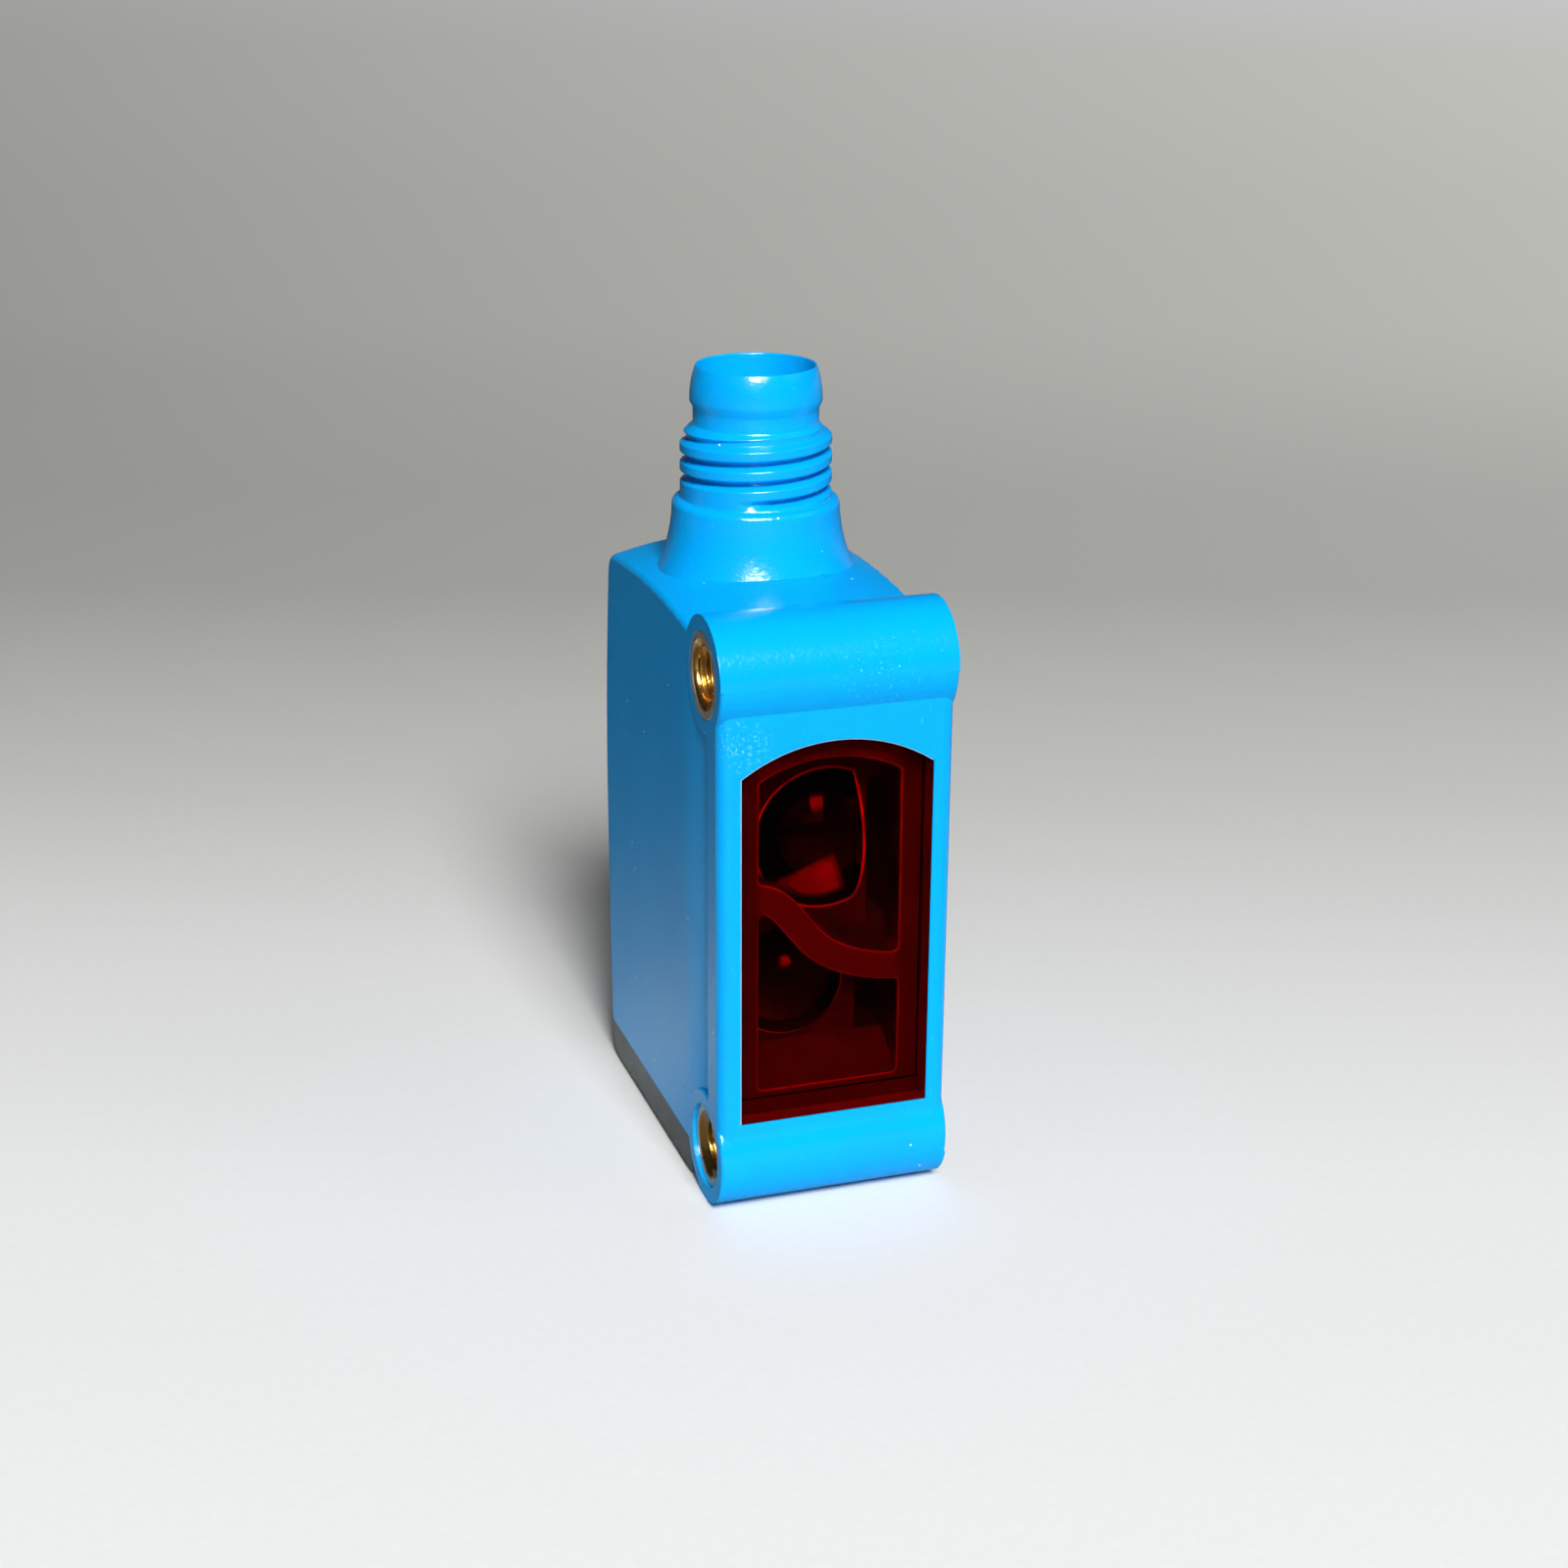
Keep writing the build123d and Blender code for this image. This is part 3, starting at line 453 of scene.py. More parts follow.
def on_crown(face):
    """Whether a face of the housing, in metres, belongs to the crown or its rounded edges."""
    spots = [corner.co * 1000 for corner in face.verts]
    return (face.normal.z > 0.03 and not all(on_boss(s.y, s.z) for s in spots)
            and all(CROWN_FOOT < s.z < crown_height(s.y) + 0.03 and s.y > CROWN_FRONT
                    and math.hypot(s.x, s.y - PLUG_Y) > FLARE_RADIUS for s in spots))


def swell_share(z):
    """Share of the swell at a height: none at the crown's rear border, all above it."""
    return min(max((z - SWELL_START) / SWELL_RUN, 0.0), 1.0)


def swollen(x, y, z):
    """Where a spot of the plain crown goes. The rounded edges turn with the slope."""
    across, fade = abs(x), swell_share(z)
    if across <= CROWN_FLAT:
        wide = across * SWELL_EDGE / CROWN_FLAT
        rise = (CROWN_SWELL * (1 - (wide / SWELL_EDGE) ** 2)
                - CROWN_ROUND * (1 - math.cos(SWELL_SLOPE)))
    else:
        turn = math.asin(min((across - CROWN_FLAT) / CROWN_ROUND, 1.0))
        turned = SWELL_SLOPE + turn * (1 - SWELL_SLOPE * 2 / math.pi)
        wide = CROWN_FLAT + CROWN_ROUND * math.sin(turned)
        rise = CROWN_ROUND * (math.cos(turned) - math.cos(turn))
    return (math.copysign(across + (wide - across) * fade, x), y, z + rise * fade)


def tilted(x, y, z):
    """Normal of the swollen crown above a spot of the plain one."""
    back = math.atan(CROWN_FALL + 2 * CROWN_BEND * (y - CROWN_TOP_Y))
    if y > REAR_ROUND_START:
        back = max(back, math.asin(min((y - REAR_ROUND_START) / REAR_ROUND, 1.0)))
    lean = math.asin(min(max(abs(x) - CROWN_FLAT, 0.0) / CROWN_ROUND, 1.0))
    if abs(x) <= CROWN_FLAT:
        leant = math.atan(2 * CROWN_SWELL * abs(x) / (CROWN_FLAT * SWELL_EDGE))
    else:
        leant = SWELL_SLOPE + lean * (1 - SWELL_SLOPE * 2 / math.pi)
    lean += (leant - lean) * swell_share(z)
    return (math.copysign(math.sin(lean), x), math.sin(back) * math.cos(lean),
            math.cos(back) * math.cos(lean))


# The CAD surface keeps its own normals, so each face carries its number until they are set
shell_mesh = nodes["housing"].data.copy()
kept_normals = [tuple(n.vector) for n in shell_mesh.corner_normals]
loops_of = [list(p.loop_indices) for p in shell_mesh.polygons]
shell_bm = bmesh.new()
shell_bm.from_mesh(shell_mesh)
face_number = shell_bm.faces.layers.int.new("number")
for count, face in enumerate(shell_bm.faces):
    face[face_number] = count
crown_bm = shell_bm.copy()
barrel_foot = (SHOULDER + 0.01) / 1000
cut_off = [f for f in shell_bm.faces
           if max(v.co.z for v in f.verts) > barrel_foot or on_crown(f)]
bmesh.ops.delete(shell_bm, geom=cut_off, context="FACES")
left = [face[face_number] for face in shell_bm.faces]
shell_bm.faces.layers.int.remove(face_number)
shell_bm.to_mesh(shell_mesh)
shell_bm.free()
shell_mesh.normals_split_custom_set([kept_normals[i] for n in left for i in loops_of[n]])
housing_shell = linked("housing_shell", shell_mesh)
housing_shell.data.materials.clear()
housing_shell.data.materials.append(blue_plastic)
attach(housing_shell, "sensor")
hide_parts("housing")

# The crown's own faces are sliced into small ones, which then follow the swell
other_faces = [f for f in crown_bm.faces if not on_crown(f)]
bmesh.ops.delete(crown_bm, geom=other_faces, context="FACES")
crown_bm.faces.layers.int.remove(crown_bm.faces.layers.int["number"])
bmesh.ops.scale(crown_bm, vec=(1000, 1000, 1000), verts=crown_bm.verts)
bmesh.ops.remove_doubles(crown_bm, verts=crown_bm.verts, dist=WELD)
slices = [((SLICE_ACROSS * k, 0, 0), (1, 0, 0)) for k in range(-14, 15)]
slices += [((0, FIRST_SLICE + SLICE_ALONG * k, 0), (0, 1, 0)) for k in range(26)]
for place, square_to in slices:
    bmesh.ops.bisect_plane(crown_bm, geom=crown_bm.verts[:] + crown_bm.edges[:] + crown_bm.faces[:],
                           dist=WELD, plane_co=place, plane_no=square_to)
# Two borders are drawn on into the flared root and into the boss, so the swell leaves no gap
border = [e for e in crown_bm.edges if len(e.link_faces) == 1]
root_line = [e for e in border
             if all(math.hypot(v.co.x, v.co.y - PLUG_Y) < FLARE_LINE for v in e.verts)]
boss_line = [e for e in border if all(on_boss(v.co.y, v.co.z) for v in e.verts)]
for line, shrink, forward in ((root_line, ROOT_SHRINK, 0.0), (boss_line, 1.0, BOSS_FORWARD)):
    grown = bmesh.ops.extrude_edge_only(crown_bm, edges=line)["geom"]
    for corner in [g for g in grown if isinstance(g, bmesh.types.BMVert)]:
        x, y, z = corner.co
        new_y = PLUG_Y + (y - PLUG_Y) * shrink - forward
        corner.co = (x * shrink, new_y, z + crown_height(new_y) - crown_height(y))
crown_normals = []
for corner in crown_bm.verts:
    crown_normals.append(tilted(*corner.co))
    corner.co = swollen(*corner.co)
bmesh.ops.recalc_face_normals(crown_bm, faces=crown_bm.faces)
if sum(f.normal.z for f in crown_bm.faces) < 0:
    bmesh.ops.reverse_faces(crown_bm, faces=crown_bm.faces)
crown = in_metres(crown_bm, "crown")
crown.data.normals_split_custom_set_from_vertices(crown_normals)
crown.data.materials.append(blue_plastic)
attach(crown, "sensor")
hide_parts("housing")


# Threaded sleeves
# Two brass inserts pressed into the bosses, one right through each. The ends
# are faced and dulled, the mouths are countersunk and the bores tapped fine.
LOWER_BOSS_Z = 3.0
SLEEVE_RADIUS = 2.2
MOUTH_RADIUS = 1.8
BORE_RADIUS = 1.25
TAPPED_RADIUS = 1.5
TAP_PITCH = 0.5
TAP_STEP = 0.0625
TAP_FLANK = 1.5
TAP_CREST = 0.25
COUNTERSINK = 0.24
EDGE_BREAK = 0.06
SLEEVE_STEPS = 96

tapped_brass = finish("tapped_brass", (0.62, 0.37, 0.09), (0.42, 0.22, 0.05), (0.16, 0.34),
                      grain=9000.0, mottle=900.0, relief=0.006, strength=0.25, Metallic=1.0)
faced_ring = finish("faced_ring", (0.70, 0.66, 0.58), (0.42, 0.36, 0.27), (0.25, 0.48),
                    grain=8000.0, mottle=2200.0, relief=0.008, strength=0.35, Metallic=1.0)

SLEEVE_ENDS = (("upper_sleeve", UPPER_BOSS_Z, 6.1), ("lower_sleeve", LOWER_BOSS_Z, 5.9))
for name, axis_height, end in SLEEVE_ENDS:
    half = [(-end + COUNTERSINK, BORE_RADIUS), (-end + EDGE_BREAK, MOUTH_RADIUS - EDGE_BREAK / 2),
            (-end, MOUTH_RADIUS + EDGE_BREAK / 2), (-end, SLEEVE_RADIUS - EDGE_BREAK),
            (-end + EDGE_BREAK, SLEEVE_RADIUS)]
    other_half = [(-x, r) for x, r in reversed(half)]
    bore = stepped([(end - COUNTERSINK, BORE_RADIUS), (-end + COUNTERSINK, BORE_RADIUS)], TAP_STEP)
    section = half + other_half + bore[1:]
    sleeve_bm = spun([(x, BOSS_Y, axis_height + r) for x, r in section], (1, 0, 0),
                     (0, BOSS_Y, axis_height), SLEEVE_STEPS)
    bmesh.ops.remove_doubles(sleeve_bm, verts=sleeve_bm.verts, dist=WELD)
    for corner in sleeve_bm.verts:
        x, y, z = corner.co
        across, above = y - BOSS_Y, z - axis_height
        radius = math.hypot(across, above)
        if radius < MOUTH_RADIUS - 0.05:
            turn = math.atan2(above, across) / (2 * math.pi)
            ridge = 1 - abs(2 * ((x / TAP_PITCH + turn) % 1.0) - 1)
            share = min(max(ridge * TAP_FLANK - TAP_CREST, 0.0), 1.0)
            wide = max(radius, BORE_RADIUS + share * (TAPPED_RADIUS - BORE_RADIUS))
            corner.co = (x, BOSS_Y + across * wide / radius, axis_height + above * wide / radius)
    bmesh.ops.recalc_face_normals(sleeve_bm, faces=sleeve_bm.faces)
    for face in sleeve_bm.faces:
        middle = face.calc_center_median()
        away = math.hypot(middle.y - BOSS_Y, middle.z - axis_height)
        face.material_index = 1 if away > MOUTH_RADIUS - 0.02 else 0
        face.smooth = away < MOUTH_RADIUS - 0.1 or away > SLEEVE_RADIUS - 0.02
    sleeve = in_metres(sleeve_bm, "tapped_" + name, smooth=False)
    sleeve.data.materials.append(tapped_brass)
    sleeve.data.materials.append(faced_ring)
    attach(sleeve, "sensor")
    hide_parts(name)


# Optics behind the window
# A matt black carrier with two chambers holds the clear moulded lenses. A
# clear dark-red plate is pressed into the bezel and lies on the carrier's rim.
CARRIER_FRONT = -9.42
CHAMBER_BACK = -7.07
# Painted light: the front face's tone is partly its ground finish and partly painted light, and the
# web's tone is painted light
GROUND_AND_LIT_FACE = (0.048, 0.043, 0.043)
LIT_WEB = (0.090, 0.078, 0.078)
# Where the web's painted light ends, in metres: its sides off the middle, and its foot
WEB_SIDE = (0.0040, 0.0036)
WEB_FOOT = (0.0068, 0.0072)

carrier_black = finish("carrier_black", (0.036, 0.031, 0.031), (0.025, 0.021, 0.021), (0.30, 0.50),
                       grain=7000.0, mottle=500.0, relief=0.02, strength=0.3, soft_edge=0.10)


def rim_of_carrier(material):
    """The front face of the carrier is greyer than its moulded chambers, partly for its ground
    finish and partly as painted light, and the web between them, which stands nearest the light, is
    painted paler again as light falling on it."""
    tree = material.node_tree
    parted = tree.nodes.new("ShaderNodeSeparateXYZ")
    tree.links.new(tree.nodes["Place"].outputs["Object"], parted.inputs["Vector"])
    front = ranged(material, parted.outputs["Y"],
                   (CARRIER_FRONT + 0.05) / 1000, (CARRIER_FRONT + 0.01) / 1000)
    off_middle = calculated(material, "ABSOLUTE", parted.outputs["X"])
    web = calculated(material, "MULTIPLY", ranged(material, off_middle, *WEB_SIDE),
                     ranged(material, parted.outputs["Z"], *WEB_FOOT))
    laid_over(material, front, blended(material, web, GROUND_AND_LIT_FACE, LIT_WEB))


rim_of_carrier(carrier_black)
painted("optics_carrier", carrier_black)

# The seat round the carrier's rim is lined with a ring of sealant, as black as the carrier
SEAT_LEVEL = -9.45
# The seat takes the carrier's front-face tone, and with it that tone's painted light
shell_mesh.materials.append(carrier_black)
for face in shell_mesh.polygons:
    if face.normal.y < -0.9 and abs(face.center.y * 1000 - SEAT_LEVEL) < 0.02:
        face.material_index = 1

# Both lenses are domed and trimmed. Each is given by its middle, across and up, and radius
LENS_RISE = 2.0
RECEIVER = (0.5, 19.0, 3.75)
SENDER = (-1.44, 11.4, 2.95)
LENS_LEFT = -3.7
LENS_STEPS = 160

clear_lens = finish("clear_lens", (0.96, 0.93, 0.93), (0.90, 0.86, 0.86), (0.02, 0.05),
                    grain=1200.0, mottle=200.0, relief=0.002, strength=0.05,
                    Transmission_Weight=1.0, IOR=1.22)
frosted_edge = finish("frosted_edge", (0.95, 0.92, 0.92), (0.45, 0.42, 0.42), (0.40, 0.60),
                      grain=5200.0, mottle=1900.0, relief=0.02, strength=0.4)


def dome_front(x, z, lens):
    """Where a lens's domed face lies along Y, in front of a place in its chamber."""
    middle_x, middle_z, radius = lens
    sphere = (radius ** 2 + LENS_RISE ** 2) / (2 * LENS_RISE)
    away = min(math.hypot(x - middle_x, z - middle_z), radius)
    return CHAMBER_BACK - LENS_RISE + sphere - math.sqrt(sphere ** 2 - away ** 2)


def beaded(name, runs, radius, sides, material):
    """Thin round bead laid along runs of places in metres, each with its share of the
    radius in millimetres."""
    curve = bpy.data.curves.new(name, "CURVE")
    curve.dimensions = "3D"
    curve.bevel_depth = radius / 1000
    curve.bevel_resolution = sides
    for run in runs:
        line = curve.splines.new("POLY")
        line.points.add(len(run) - 1)
        for point, (place, share) in zip(line.points, run):
            point.co = (*place, 1.0)
            point.radius = share
    bent = bpy.data.objects.new(name, curve)
    mesh = bpy.data.meshes.new_from_object(bent)
    bpy.data.objects.remove(bent)
    mesh.shade_smooth()
    mesh.materials.append(material)
    return linked(name, mesh)


def trimmed_edge(name, lens, right, steps, thickness):
    """The frosted bead left round a lens where its moulded edge was trimmed. It is cut
    straight at the left and the right, and runs over the given steps of a full turn."""
    x, z, radius = lens
    run = []
    for step in steps:
        turn = 2 * math.pi * step / LENS_STEPS
        across = min(max(x + radius * math.cos(turn), LENS_LEFT), right)
        high = z + radius * math.sin(turn)
        front = dome_front(across, high, lens) - 0.01
        run.append(((across / 1000, front / 1000, high / 1000), 1.0))
    edge = beaded(name, [run], thickness, 2, frosted_edge)
    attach(edge, "sensor")


painted("receiver_lens", clear_lens)
painted("sender_lens", clear_lens)
trimmed_edge("receiver_lens_edge", RECEIVER, 2.0, range(0, 161), 0.07)
trimmed_edge("sender_lens_edge", SENDER, 1.6, range(67, 174), 0.03)

# A fan-shaped pale frosted patch low on the receiver lens's dome, a painted patch of the light
# that the lens gathers there, which thins out at its rim and away from its foot. It is cut from
# a fine grid laid over the dome
FAN = ((0.32, 18.94), (0.73, 18.03), (1.08, 17.01), (1.11, 16.57), (0.51, 16.29), (-0.09, 16.12),
       (-0.66, 16.04), (-1.26, 16.17), (-1.88, 16.54), (-2.44, 16.84), (-2.75, 17.27),
       (-2.18, 17.56), (-1.55, 17.94), (-0.88, 18.41), (-0.30, 18.74))
FAN_MIDDLE = (-0.8, 17.45)
FAN_HALF = (2.05, 1.55)
FAN_RIM = 0.45
FAN_FROST = 0.62
FROST_CENTRE = (0.2, 17.5)
FROST_REACH = 3.6
FROST_LEAST = 0.25
FAN_STEPS = 64

fan_light_bm = bmesh.new()
bmesh.ops.create_grid(fan_light_bm, x_segments=FAN_STEPS, y_segments=FAN_STEPS, size=1.0)
depth_in = fan_light_bm.verts.layers.float.new("soft")
for corner in fan_light_bm.verts:
    x = FAN_MIDDLE[0] + FAN_HALF[0] * corner.co.x
    z = FAN_MIDDLE[1] + FAN_HALF[1] * corner.co.y
    within, nearest = False, math.inf
    for (ax, az), (bx, bz) in zip(FAN, FAN[1:] + FAN[:1]):
        if (az > z) != (bz > z) and x < ax + (z - az) * (bx - ax) / (bz - az):
            within = not within
        run = Vector((bx - ax, bz - az))
        share = min(max(Vector((x - ax, z - az)).dot(run) / run.length_squared, 0.0), 1.0)
        nearest = min(nearest, math.hypot(x - ax - share * run.x, z - az - share * run.y))
    rim = min(nearest / FAN_RIM, 1.0) if within else 0.0
    fall = max(1.0 - math.dist((x, z), FROST_CENTRE) / FROST_REACH, FROST_LEAST)
    corner[depth_in] = FAN_FROST * rim * fall
    corner.co = (x / 1000, (dome_front(x, z, RECEIVER) - 0.02) / 1000, z / 1000)
clear_of_fan = [f for f in fan_light_bm.faces if all(v[depth_in] == 0.0 for v in f.verts)]
bmesh.ops.delete(fan_light_bm, geom=clear_of_fan, context="FACES")
fan_light_mesh = bpy.data.meshes.new("receiver_fan_light")
fan_light_bm.to_mesh(fan_light_mesh)
fan_light_bm.free()
fan_light_mesh.shade_smooth()
fan_light = linked("receiver_fan_light", fan_light_mesh)
# Painted light: the patch's pale frost stands in for light gathered in the lens
fan_light_frost = finish("fan_light_frost", (0.85, 0.82, 0.82), (0.60, 0.58, 0.58), (0.50, 0.65),
                    grain=5200.0, mottle=900.0, relief=0.02, strength=0.4)
fan_light_tree = fan_light_frost.node_tree
softness = fan_light_tree.nodes.new("ShaderNodeAttribute")
softness.attribute_name = "soft"
fan_light_tree.links.new(softness.outputs["Fac"], fan_light_tree.nodes["Principled BSDF"].inputs["Alpha"])
fan_light.data.materials.append(fan_light_frost)
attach(fan_light, "sensor")

# The moulded lips round both chambers, painted pale as a highlight along their edges, and wider
# along the top of the arch. All but their radius is in metres, as the CAD mesh is
LIP_RADIUS = 0.065
LIP_SINK = 0.000066
WIDE_LIP = 1.7
WIDE_LIP_START = 0.0219
FRAME_BORDER = 0.0002


def front_edges(node_name, level):
    """Both ends of each edge, in metres, where a node's flat front face at that level
    turns into its sides."""
    bm = bmesh.new()
    bm.from_mesh(nodes[node_name].data)
    bmesh.ops.remove_doubles(bm, verts=bm.verts, dist=WELD / 1000)
    found = []
    for side in bm.edges:
        facing = [abs(f.normal.y) > 0.9 for f in side.link_faces]
        if (len(facing) == 2 and facing[0] != facing[1]
                and all(abs(v.co.y * 1000 - level) < 0.004 for v in side.verts)):
            found.append([v.co.copy() for v in side.verts])
    bm.free()
    return found


# Painted highlight: a pale grey bead stands in for the light caught along the chambers' edges
lip_highlight = finish("lip_highlight", (0.46, 0.39, 0.39), (0.18, 0.15, 0.15), (0.35, 0.50),
                  grain=6000.0, mottle=1600.0, relief=0.01, strength=0.3)
rim_edges = front_edges("optics_carrier", CARRIER_FRONT)
frame_side = max(abs(p.x) for pair in rim_edges for p in pair) - FRAME_BORDER
frame_foot = min(p.z for pair in rim_edges for p in pair) + FRAME_BORDER
lip_runs = []
for pair in rim_edges:
    if max(abs(p.x) for p in pair) < frame_side and min(p.z for p in pair) > frame_foot:
        shares = [WIDE_LIP if p.z > WIDE_LIP_START else 1.0 for p in pair]
        lip_runs.append([((p.x, p.y + LIP_SINK * share, p.z), share)
                         for p, share in zip(pair, shares)])
chamber_lips = beaded("chamber_lips", lip_runs, LIP_RADIUS, 1, lip_highlight)
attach(chamber_lips, "sensor")

# The window opening's arch and left edge carry a thin pale line of painted highlight, where the
# edge catches the light. Where both begin is in metres again
HIGHLIGHT_RADIUS = 0.028
ARCH_START = 0.0215
LEFT_EDGE = -0.0036

# Painted highlight: a pale blue bead along the opening's edge
highlight_blue = finish("highlight_blue", (0.42, 0.80, 0.95), (0.20, 0.62, 0.92), (0.25, 0.4),
                   grain=5000.0, mottle=1500.0, relief=0.005)
plate_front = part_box("front_window")[0][1] * 1000
highlight_runs = []
for first, second in front_edges("front_window", plate_front):
    middle = (first + second) / 2
    if middle.z > ARCH_START or middle.x < LEFT_EDGE:
        highlight_runs.append([(first, 1.0), (second, 1.0)])
edge_highlight = beaded("edge_highlight", highlight_runs, HIGHLIGHT_RADIUS, 1, highlight_blue)
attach(edge_highlight, "sensor")

# The plate is clear dark red. Its sawn edges are frosted and look a dull dark red where
# the light comes through them. A hair of sealant holds it off its seat, so its back lies
# clear of the ledge
SEALANT = 0.02

window_red = finish("window_red", (0.62, 0.006, 0.012), (0.56, 0.005, 0.010), (0.02, 0.05),
                    grain=900.0, mottle=150.0, relief=0.002, strength=0.04,
                    Transmission_Weight=1.0, IOR=1.06)
sawn_red = finish("sawn_red", (0.10, 0.003, 0.006), (0.07, 0.002, 0.004), (0.45, 0.60),
                  grain=6000.0, mottle=1200.0, relief=0.01, strength=0.3)
plate_mesh = nodes["front_window"].data.copy()
plate_mesh.materials.clear()
plate_mesh.materials.append(window_red)
plate_mesh.materials.append(sawn_red)
for face in plate_mesh.polygons:
    face.material_index = 1 if abs(face.normal.y) < 0.5 else 0
for corner in plate_mesh.vertices:
    if corner.co.y > (SEAT_LEVEL - 0.01) / 1000:
        corner.co.y -= SEALANT / 1000
window_plate = linked("window_plate", plate_mesh)
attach(window_plate, "sensor")
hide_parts("front_window")


# Boards and their parts
# Green fibreglass boards with black chips, tan ceramic capacitors and pale light
# sources. All are soldered on, and slide into the housing with the carrier.
board_green = finish("board_green", (0.02, 0.16, 0.06), (0.01, 0.10, 0.04), (0.25, 0.40),
                     grain=3000.0, mottle=900.0, relief=0.01, strength=0.3)
chip_black = finish("chip_black", (0.035, 0.035, 0.037), (0.022, 0.022, 0.024), (0.45, 0.6),
                    grain=9000.0, mottle=1500.0, relief=0.01, strength=0.4)
ceramic_tan = finish("ceramic_tan", (0.42, 0.28, 0.16), (0.34, 0.22, 0.12), (0.4, 0.55),
                     grain=9000.0, mottle=1500.0, relief=0.005, strength=0.3)
chip_white = finish("chip_white", (0.80, 0.76, 0.62), (0.70, 0.66, 0.52), (0.25, 0.4),
                    grain=6000.0, mottle=1200.0, relief=0.004, strength=0.2)
for name in ("optics_board", "main_board", "indicator_board"):
    painted(name, board_green)
for name in ("board_link", "signal_processor", "output_driver", "receiver_chip"):
    painted(name, chip_black)
painted("ceramic_capacitors", ceramic_tan)
for name in ("sender_led", "power_led", "output_led"):
    painted(name, chip_white)


# Indicator cap and its seal
# The foot is closed by a dark grey moulding that is welded in. Two clear
# light guides and the adjuster come through it, and a rubber ring seals it.
cap_grey = finish("cap_grey", (0.076, 0.092, 0.095), (0.062, 0.076, 0.079), (0.36, 0.5),
                  grain=5500.0, mottle=350.0, relief=0.012, strength=0.35, soft_edge=0.06)
rubbed(cap_grey, (1.0, 1.0, 1.0), 2000.0, 0.70, (0.22, 0.24, 0.25), 0.35)
painted("indicator_cap", cap_grey)
seal_rubber = finish("seal_rubber", (0.03, 0.03, 0.03), (0.02, 0.02, 0.02), (0.55, 0.7),
                     grain=5000.0, mottle=600.0, relief=0.01, strength=0.3)
painted("cap_seal", seal_rubber)
painted("socket_seal", seal_rubber)
clear_guide = finish("clear_guide", (0.92, 0.94, 0.94), (0.86, 0.90, 0.90), (0.05, 0.12),
                     grain=2500.0, mottle=500.0, relief=0.003, strength=0.1,
                     Transmission_Weight=1.0, IOR=1.58)
painted("power_light_guide", clear_guide)
painted("output_light_guide", clear_guide)


# Sensitivity adjuster
# A cross-slotted rotor of white plastic turns in a blue trimmer on the board
# and is reached through the cap's foot with a small screwdriver.
rotor_white = finish("rotor_white", (0.78, 0.77, 0.73), (0.68, 0.67, 0.63), (0.32, 0.46),
                     grain=6000.0, mottle=600.0, relief=0.01, strength=0.25, soft_edge=0.05)
painted("sensitivity_adjuster", rotor_white)
trimmer_plastic = finish("trimmer_plastic", (0.03, 0.09, 0.32), (0.02, 0.07, 0.26), (0.35, 0.5),
                         grain=6000.0, mottle=600.0, relief=0.01, strength=0.25, soft_edge=0.05)
painted("trimmer_body", trimmer_plastic)


# Plug contacts
# Four gold-plated pins with domed tips stand in a black carrier at the foot
# of the socket, where the seal rests.
gold_pin = finish("gold_pin", (0.83, 0.60, 0.22), (0.70, 0.47, 0.15), (0.14, 0.28),
                  grain=9000.0, mottle=900.0, relief=0.003, strength=0.15, Metallic=1.0)
for number in (1, 2, 3, 4):
    painted(f"contact_pin_{number}", gold_pin)
painted("contact_carrier", chip_black)


# Floor, lamps and camera
# A pale sheet of paper under a round soft lamp above the camera, with a weak wide fill from
# the right. A lamp on the left shows only in reflections, and the room itself is dim.
VIEW_AHEAD = (0.3184, 0.9479, 0.0)
VIEW_RIGHT = (0.9479, -0.3184, 0.0)
EYE_BACK = 0.1332
# Painted light: tones by distance in metres that stand in for the lamps' fall-off, for the eye,
# for reflections and for light that the paper throws on the object. All run out to white at
# WHITE_FROM
FLOOR_TONES = ((-0.050, 0.775), (-0.037, 0.772), (-0.022, 0.75), (-0.007, 0.745), (0.017, 0.655),
               (0.052, 0.495), (0.105, 0.352), (0.14, 0.36), (0.19, 0.41), (0.237, 0.46),
               (0.364, 0.54), (0.668, 0.77))
MIRRORED_TONES = ((-0.050, 0.05), (-0.012, 0.08), (-0.004, 0.3), (0.004, 0.72), (0.010, 0.72),
                  (0.018, 0.42), (0.036, 0.14), (0.057, 0.05), (0.08, 0.03))
BOUNCED_TONES = ((0.0, 1.0), (0.014, 1.0), (0.030, 0.60), (0.060, 0.25))
WHITE_FROM = 0.90
WARMTH = 0.06
FIBRE_TINT = 0.06
SIDE_START, SIDE_END, SIDE_LIGHT = 0.03, 0.20, 0.70


def along(material, direction):
    """Distance across the floor in one direction."""
    tree = material.node_tree
    reach = tree.nodes.new("ShaderNodeVectorMath")
    reach.operation = "DOT_PRODUCT"
    reach.inputs[1].default_value = direction
    tree.links.new(tree.nodes["Place"].outputs["Object"], reach.inputs[0])
    return reach.outputs["Value"]


def ramp(material, source, stops, tint=0.0):
    """Tones by distance, a little warmer with it, up to the ramp's own white end."""
    tree = material.node_tree
    near = stops[0][0]
    tones = tree.nodes.new("ShaderNodeValToRGB")
    ends = tones.color_ramp.elements
    for at, tone in stops:
        stop = ends[0] if at == near else ends.new((at - near) / (WHITE_FROM - near))
        stop.color = (tone, tone * 1.005, tone * (1.0 - tint * min(max(at * 9, 0.0), 1.0)), 1.0)
    tree.links.new(ranged(material, source, near, WHITE_FROM), tones.inputs["Fac"])
    return tones.outputs["Color"]


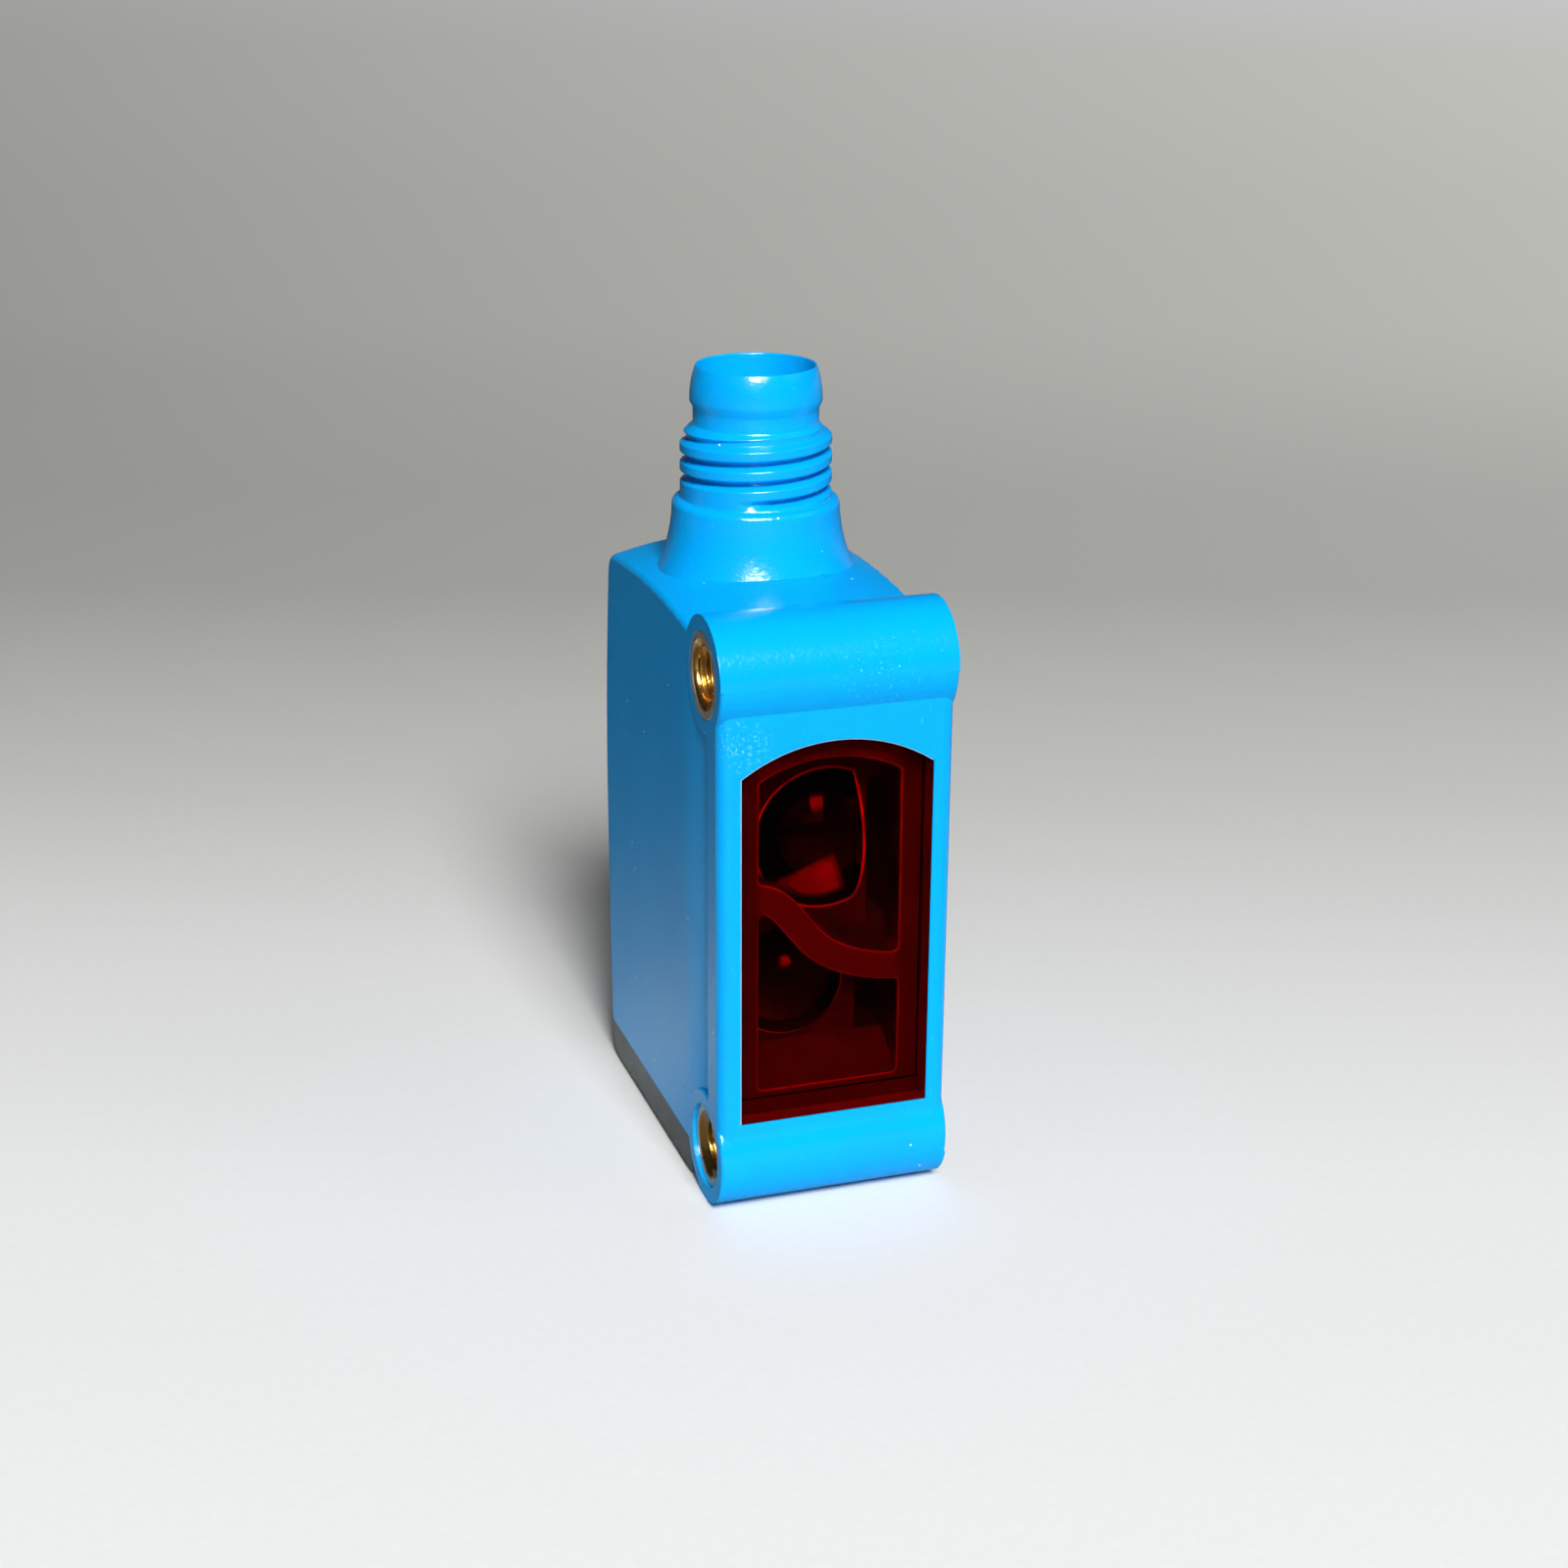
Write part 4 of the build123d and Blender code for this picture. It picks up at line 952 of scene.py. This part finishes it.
def paper():
    """Matt paper with a fine fibrous grain and painted light: it greys with distance as a painted
    fall-off of the lamps, and is painted a little paler to the right. In reflections only a strip
    across the object's foot is pale, a painted reflection, and the light that it throws back is
    painted to weaken over the first 6 cm. Both recover further out."""
    material = bpy.data.materials.new("paper")
    material.use_nodes = True
    tree = material.node_tree
    shader = tree.nodes["Principled BSDF"]
    texture = placed_group(material, grain_group, Grain=1800.0, Mottle=60.0)
    fibres = texture.outputs["Height"]
    ahead = along(material, VIEW_AHEAD)
    aside = along(material, VIEW_RIGHT)
    bearing = calculated(material, "DIVIDE", aside, calculated(material, "ADD", ahead, EYE_BACK))
    slope = ranged(material, ahead, SIDE_START, SIDE_END, high=SIDE_LIGHT)
    sides = calculated(material, "ADD", 1.0, calculated(material, "MULTIPLY", bearing, slope))
    lit = tree.nodes.new("ShaderNodeVectorMath")
    lit.operation = "SCALE"
    tree.links.new(ramp(material, ahead, FLOOR_TONES, WARMTH), lit.inputs[0])
    tree.links.new(sides, lit.inputs["Scale"])
    tinted = blended(material, FIBRE_TINT, lit.outputs["Vector"], fibres, "MULTIPLY")
    sight = tree.nodes.new("ShaderNodeLightPath")
    mirrored = blended(material, sight.outputs["Is Glossy Ray"], tinted,
                       ramp(material, ahead, MIRRORED_TONES), "MULTIPLY")
    reach = tree.nodes.new("ShaderNodeVectorMath")
    reach.operation = "LENGTH"
    tree.links.new(tree.nodes["Place"].outputs["Object"], reach.inputs[0])
    bounced = blended(material, sight.outputs["Is Diffuse Ray"], mirrored,
                      ramp(material, reach.outputs["Value"], BOUNCED_TONES), "MULTIPLY")
    tree.links.new(bounced, shader.inputs["Base Color"])
    shader.inputs["Roughness"].default_value = 0.75
    shader.inputs["Specular IOR Level"].default_value = 0.3
    bump = tree.nodes.new("ShaderNodeBump")
    bump.inputs["Distance"].default_value = 0.00003
    bump.inputs["Strength"].default_value = 0.25
    tree.links.new(fibres, bump.inputs["Height"])
    tree.links.new(bump.outputs["Normal"], shader.inputs["Normal"])
    return material


floor_bm = bmesh.new()
bmesh.ops.create_grid(floor_bm, x_segments=8, y_segments=8, size=3.0)
floor_mesh = bpy.data.meshes.new("floor")
floor_bm.to_mesh(floor_mesh)
floor_bm.free()
floor = linked("floor", floor_mesh)
floor.data.materials.append(paper())


def soft_lamp(name, azimuth, elevation, size, power):
    """Round soft lamp, 2 m away and aimed at the middle of the object. Azimuth 0 is in
    front, 90 to the right."""
    turn, rise = math.radians(azimuth), math.radians(elevation)
    away = Vector((math.sin(turn) * math.cos(rise), -math.cos(turn) * math.cos(rise),
                   math.sin(rise)))
    light = bpy.data.lights.new(name, "AREA")
    light.shape = "DISK"
    light.size = size
    light.energy = power
    lamp = bpy.data.objects.new(name, light)
    bpy.context.scene.collection.objects.link(lamp)
    lamp.location = Vector((0, 0, 0.018)) + 2.0 * away
    lamp.rotation_euler = away.to_track_quat("Z", "Y").to_euler()
    return lamp


soft_lamp("key_lamp", -4.5, 42, 0.66, 60.5)
soft_lamp("right_fill", 62, 35, 1.0, 2.5)
spark_lamp = soft_lamp("spark_lamp", -18.6, 36, 0.70, 150.0)
spark_lamp.visible_diffuse = False
spark_lamp.visible_transmission = False

ROOM_TONE = (0.80, 0.81, 0.82, 1.0)
ROOM_LIGHT = 0.10
ROOM_MIRRORED = 0.02
world = bpy.data.worlds.new("room")
bpy.context.scene.world = world
world.use_nodes = True
room = world.node_tree.nodes["Background"]
room.inputs["Color"].default_value = ROOM_TONE
seen_by = world.node_tree.nodes.new("ShaderNodeLightPath")
dimmed = world.node_tree.nodes.new("ShaderNodeMapRange")
dimmed.inputs["To Min"].default_value = ROOM_LIGHT
dimmed.inputs["To Max"].default_value = ROOM_MIRRORED
world.node_tree.links.new(seen_by.outputs["Is Glossy Ray"], dimmed.inputs["Value"])
world.node_tree.links.new(dimmed.outputs["Result"], room.inputs["Strength"])

# The camera stands where the fit to the photograph puts it, in metres. Its lens is in
# millimetres
FOCAL_LENGTH = 61.83
CAMERA_PLACE = (-0.041766, -0.126530, 0.068271)
CAMERA_RIGHT = (0.94859085, -0.31645203, 0.00578916)
CAMERA_UP = (0.10380152, 0.32832868, 0.93884265)
CAMERA_AHEAD = (0.2989994, 0.88997662, -0.34429779)
lens = bpy.data.cameras.new("photo_camera")
lens.sensor_fit = "HORIZONTAL"
lens.sensor_width = 36.0
lens.lens = FOCAL_LENGTH
lens.clip_start = 0.005
lens.clip_end = 20.0
camera = bpy.data.objects.new("photo_camera", lens)
bpy.context.scene.collection.objects.link(camera)
turned = Matrix((CAMERA_RIGHT, CAMERA_UP, [-a for a in CAMERA_AHEAD])).transposed().to_4x4()
camera.matrix_world = Matrix.Translation(CAMERA_PLACE) @ turned
bpy.context.scene.camera = camera
bpy.context.scene.view_settings.view_transform = "Standard"
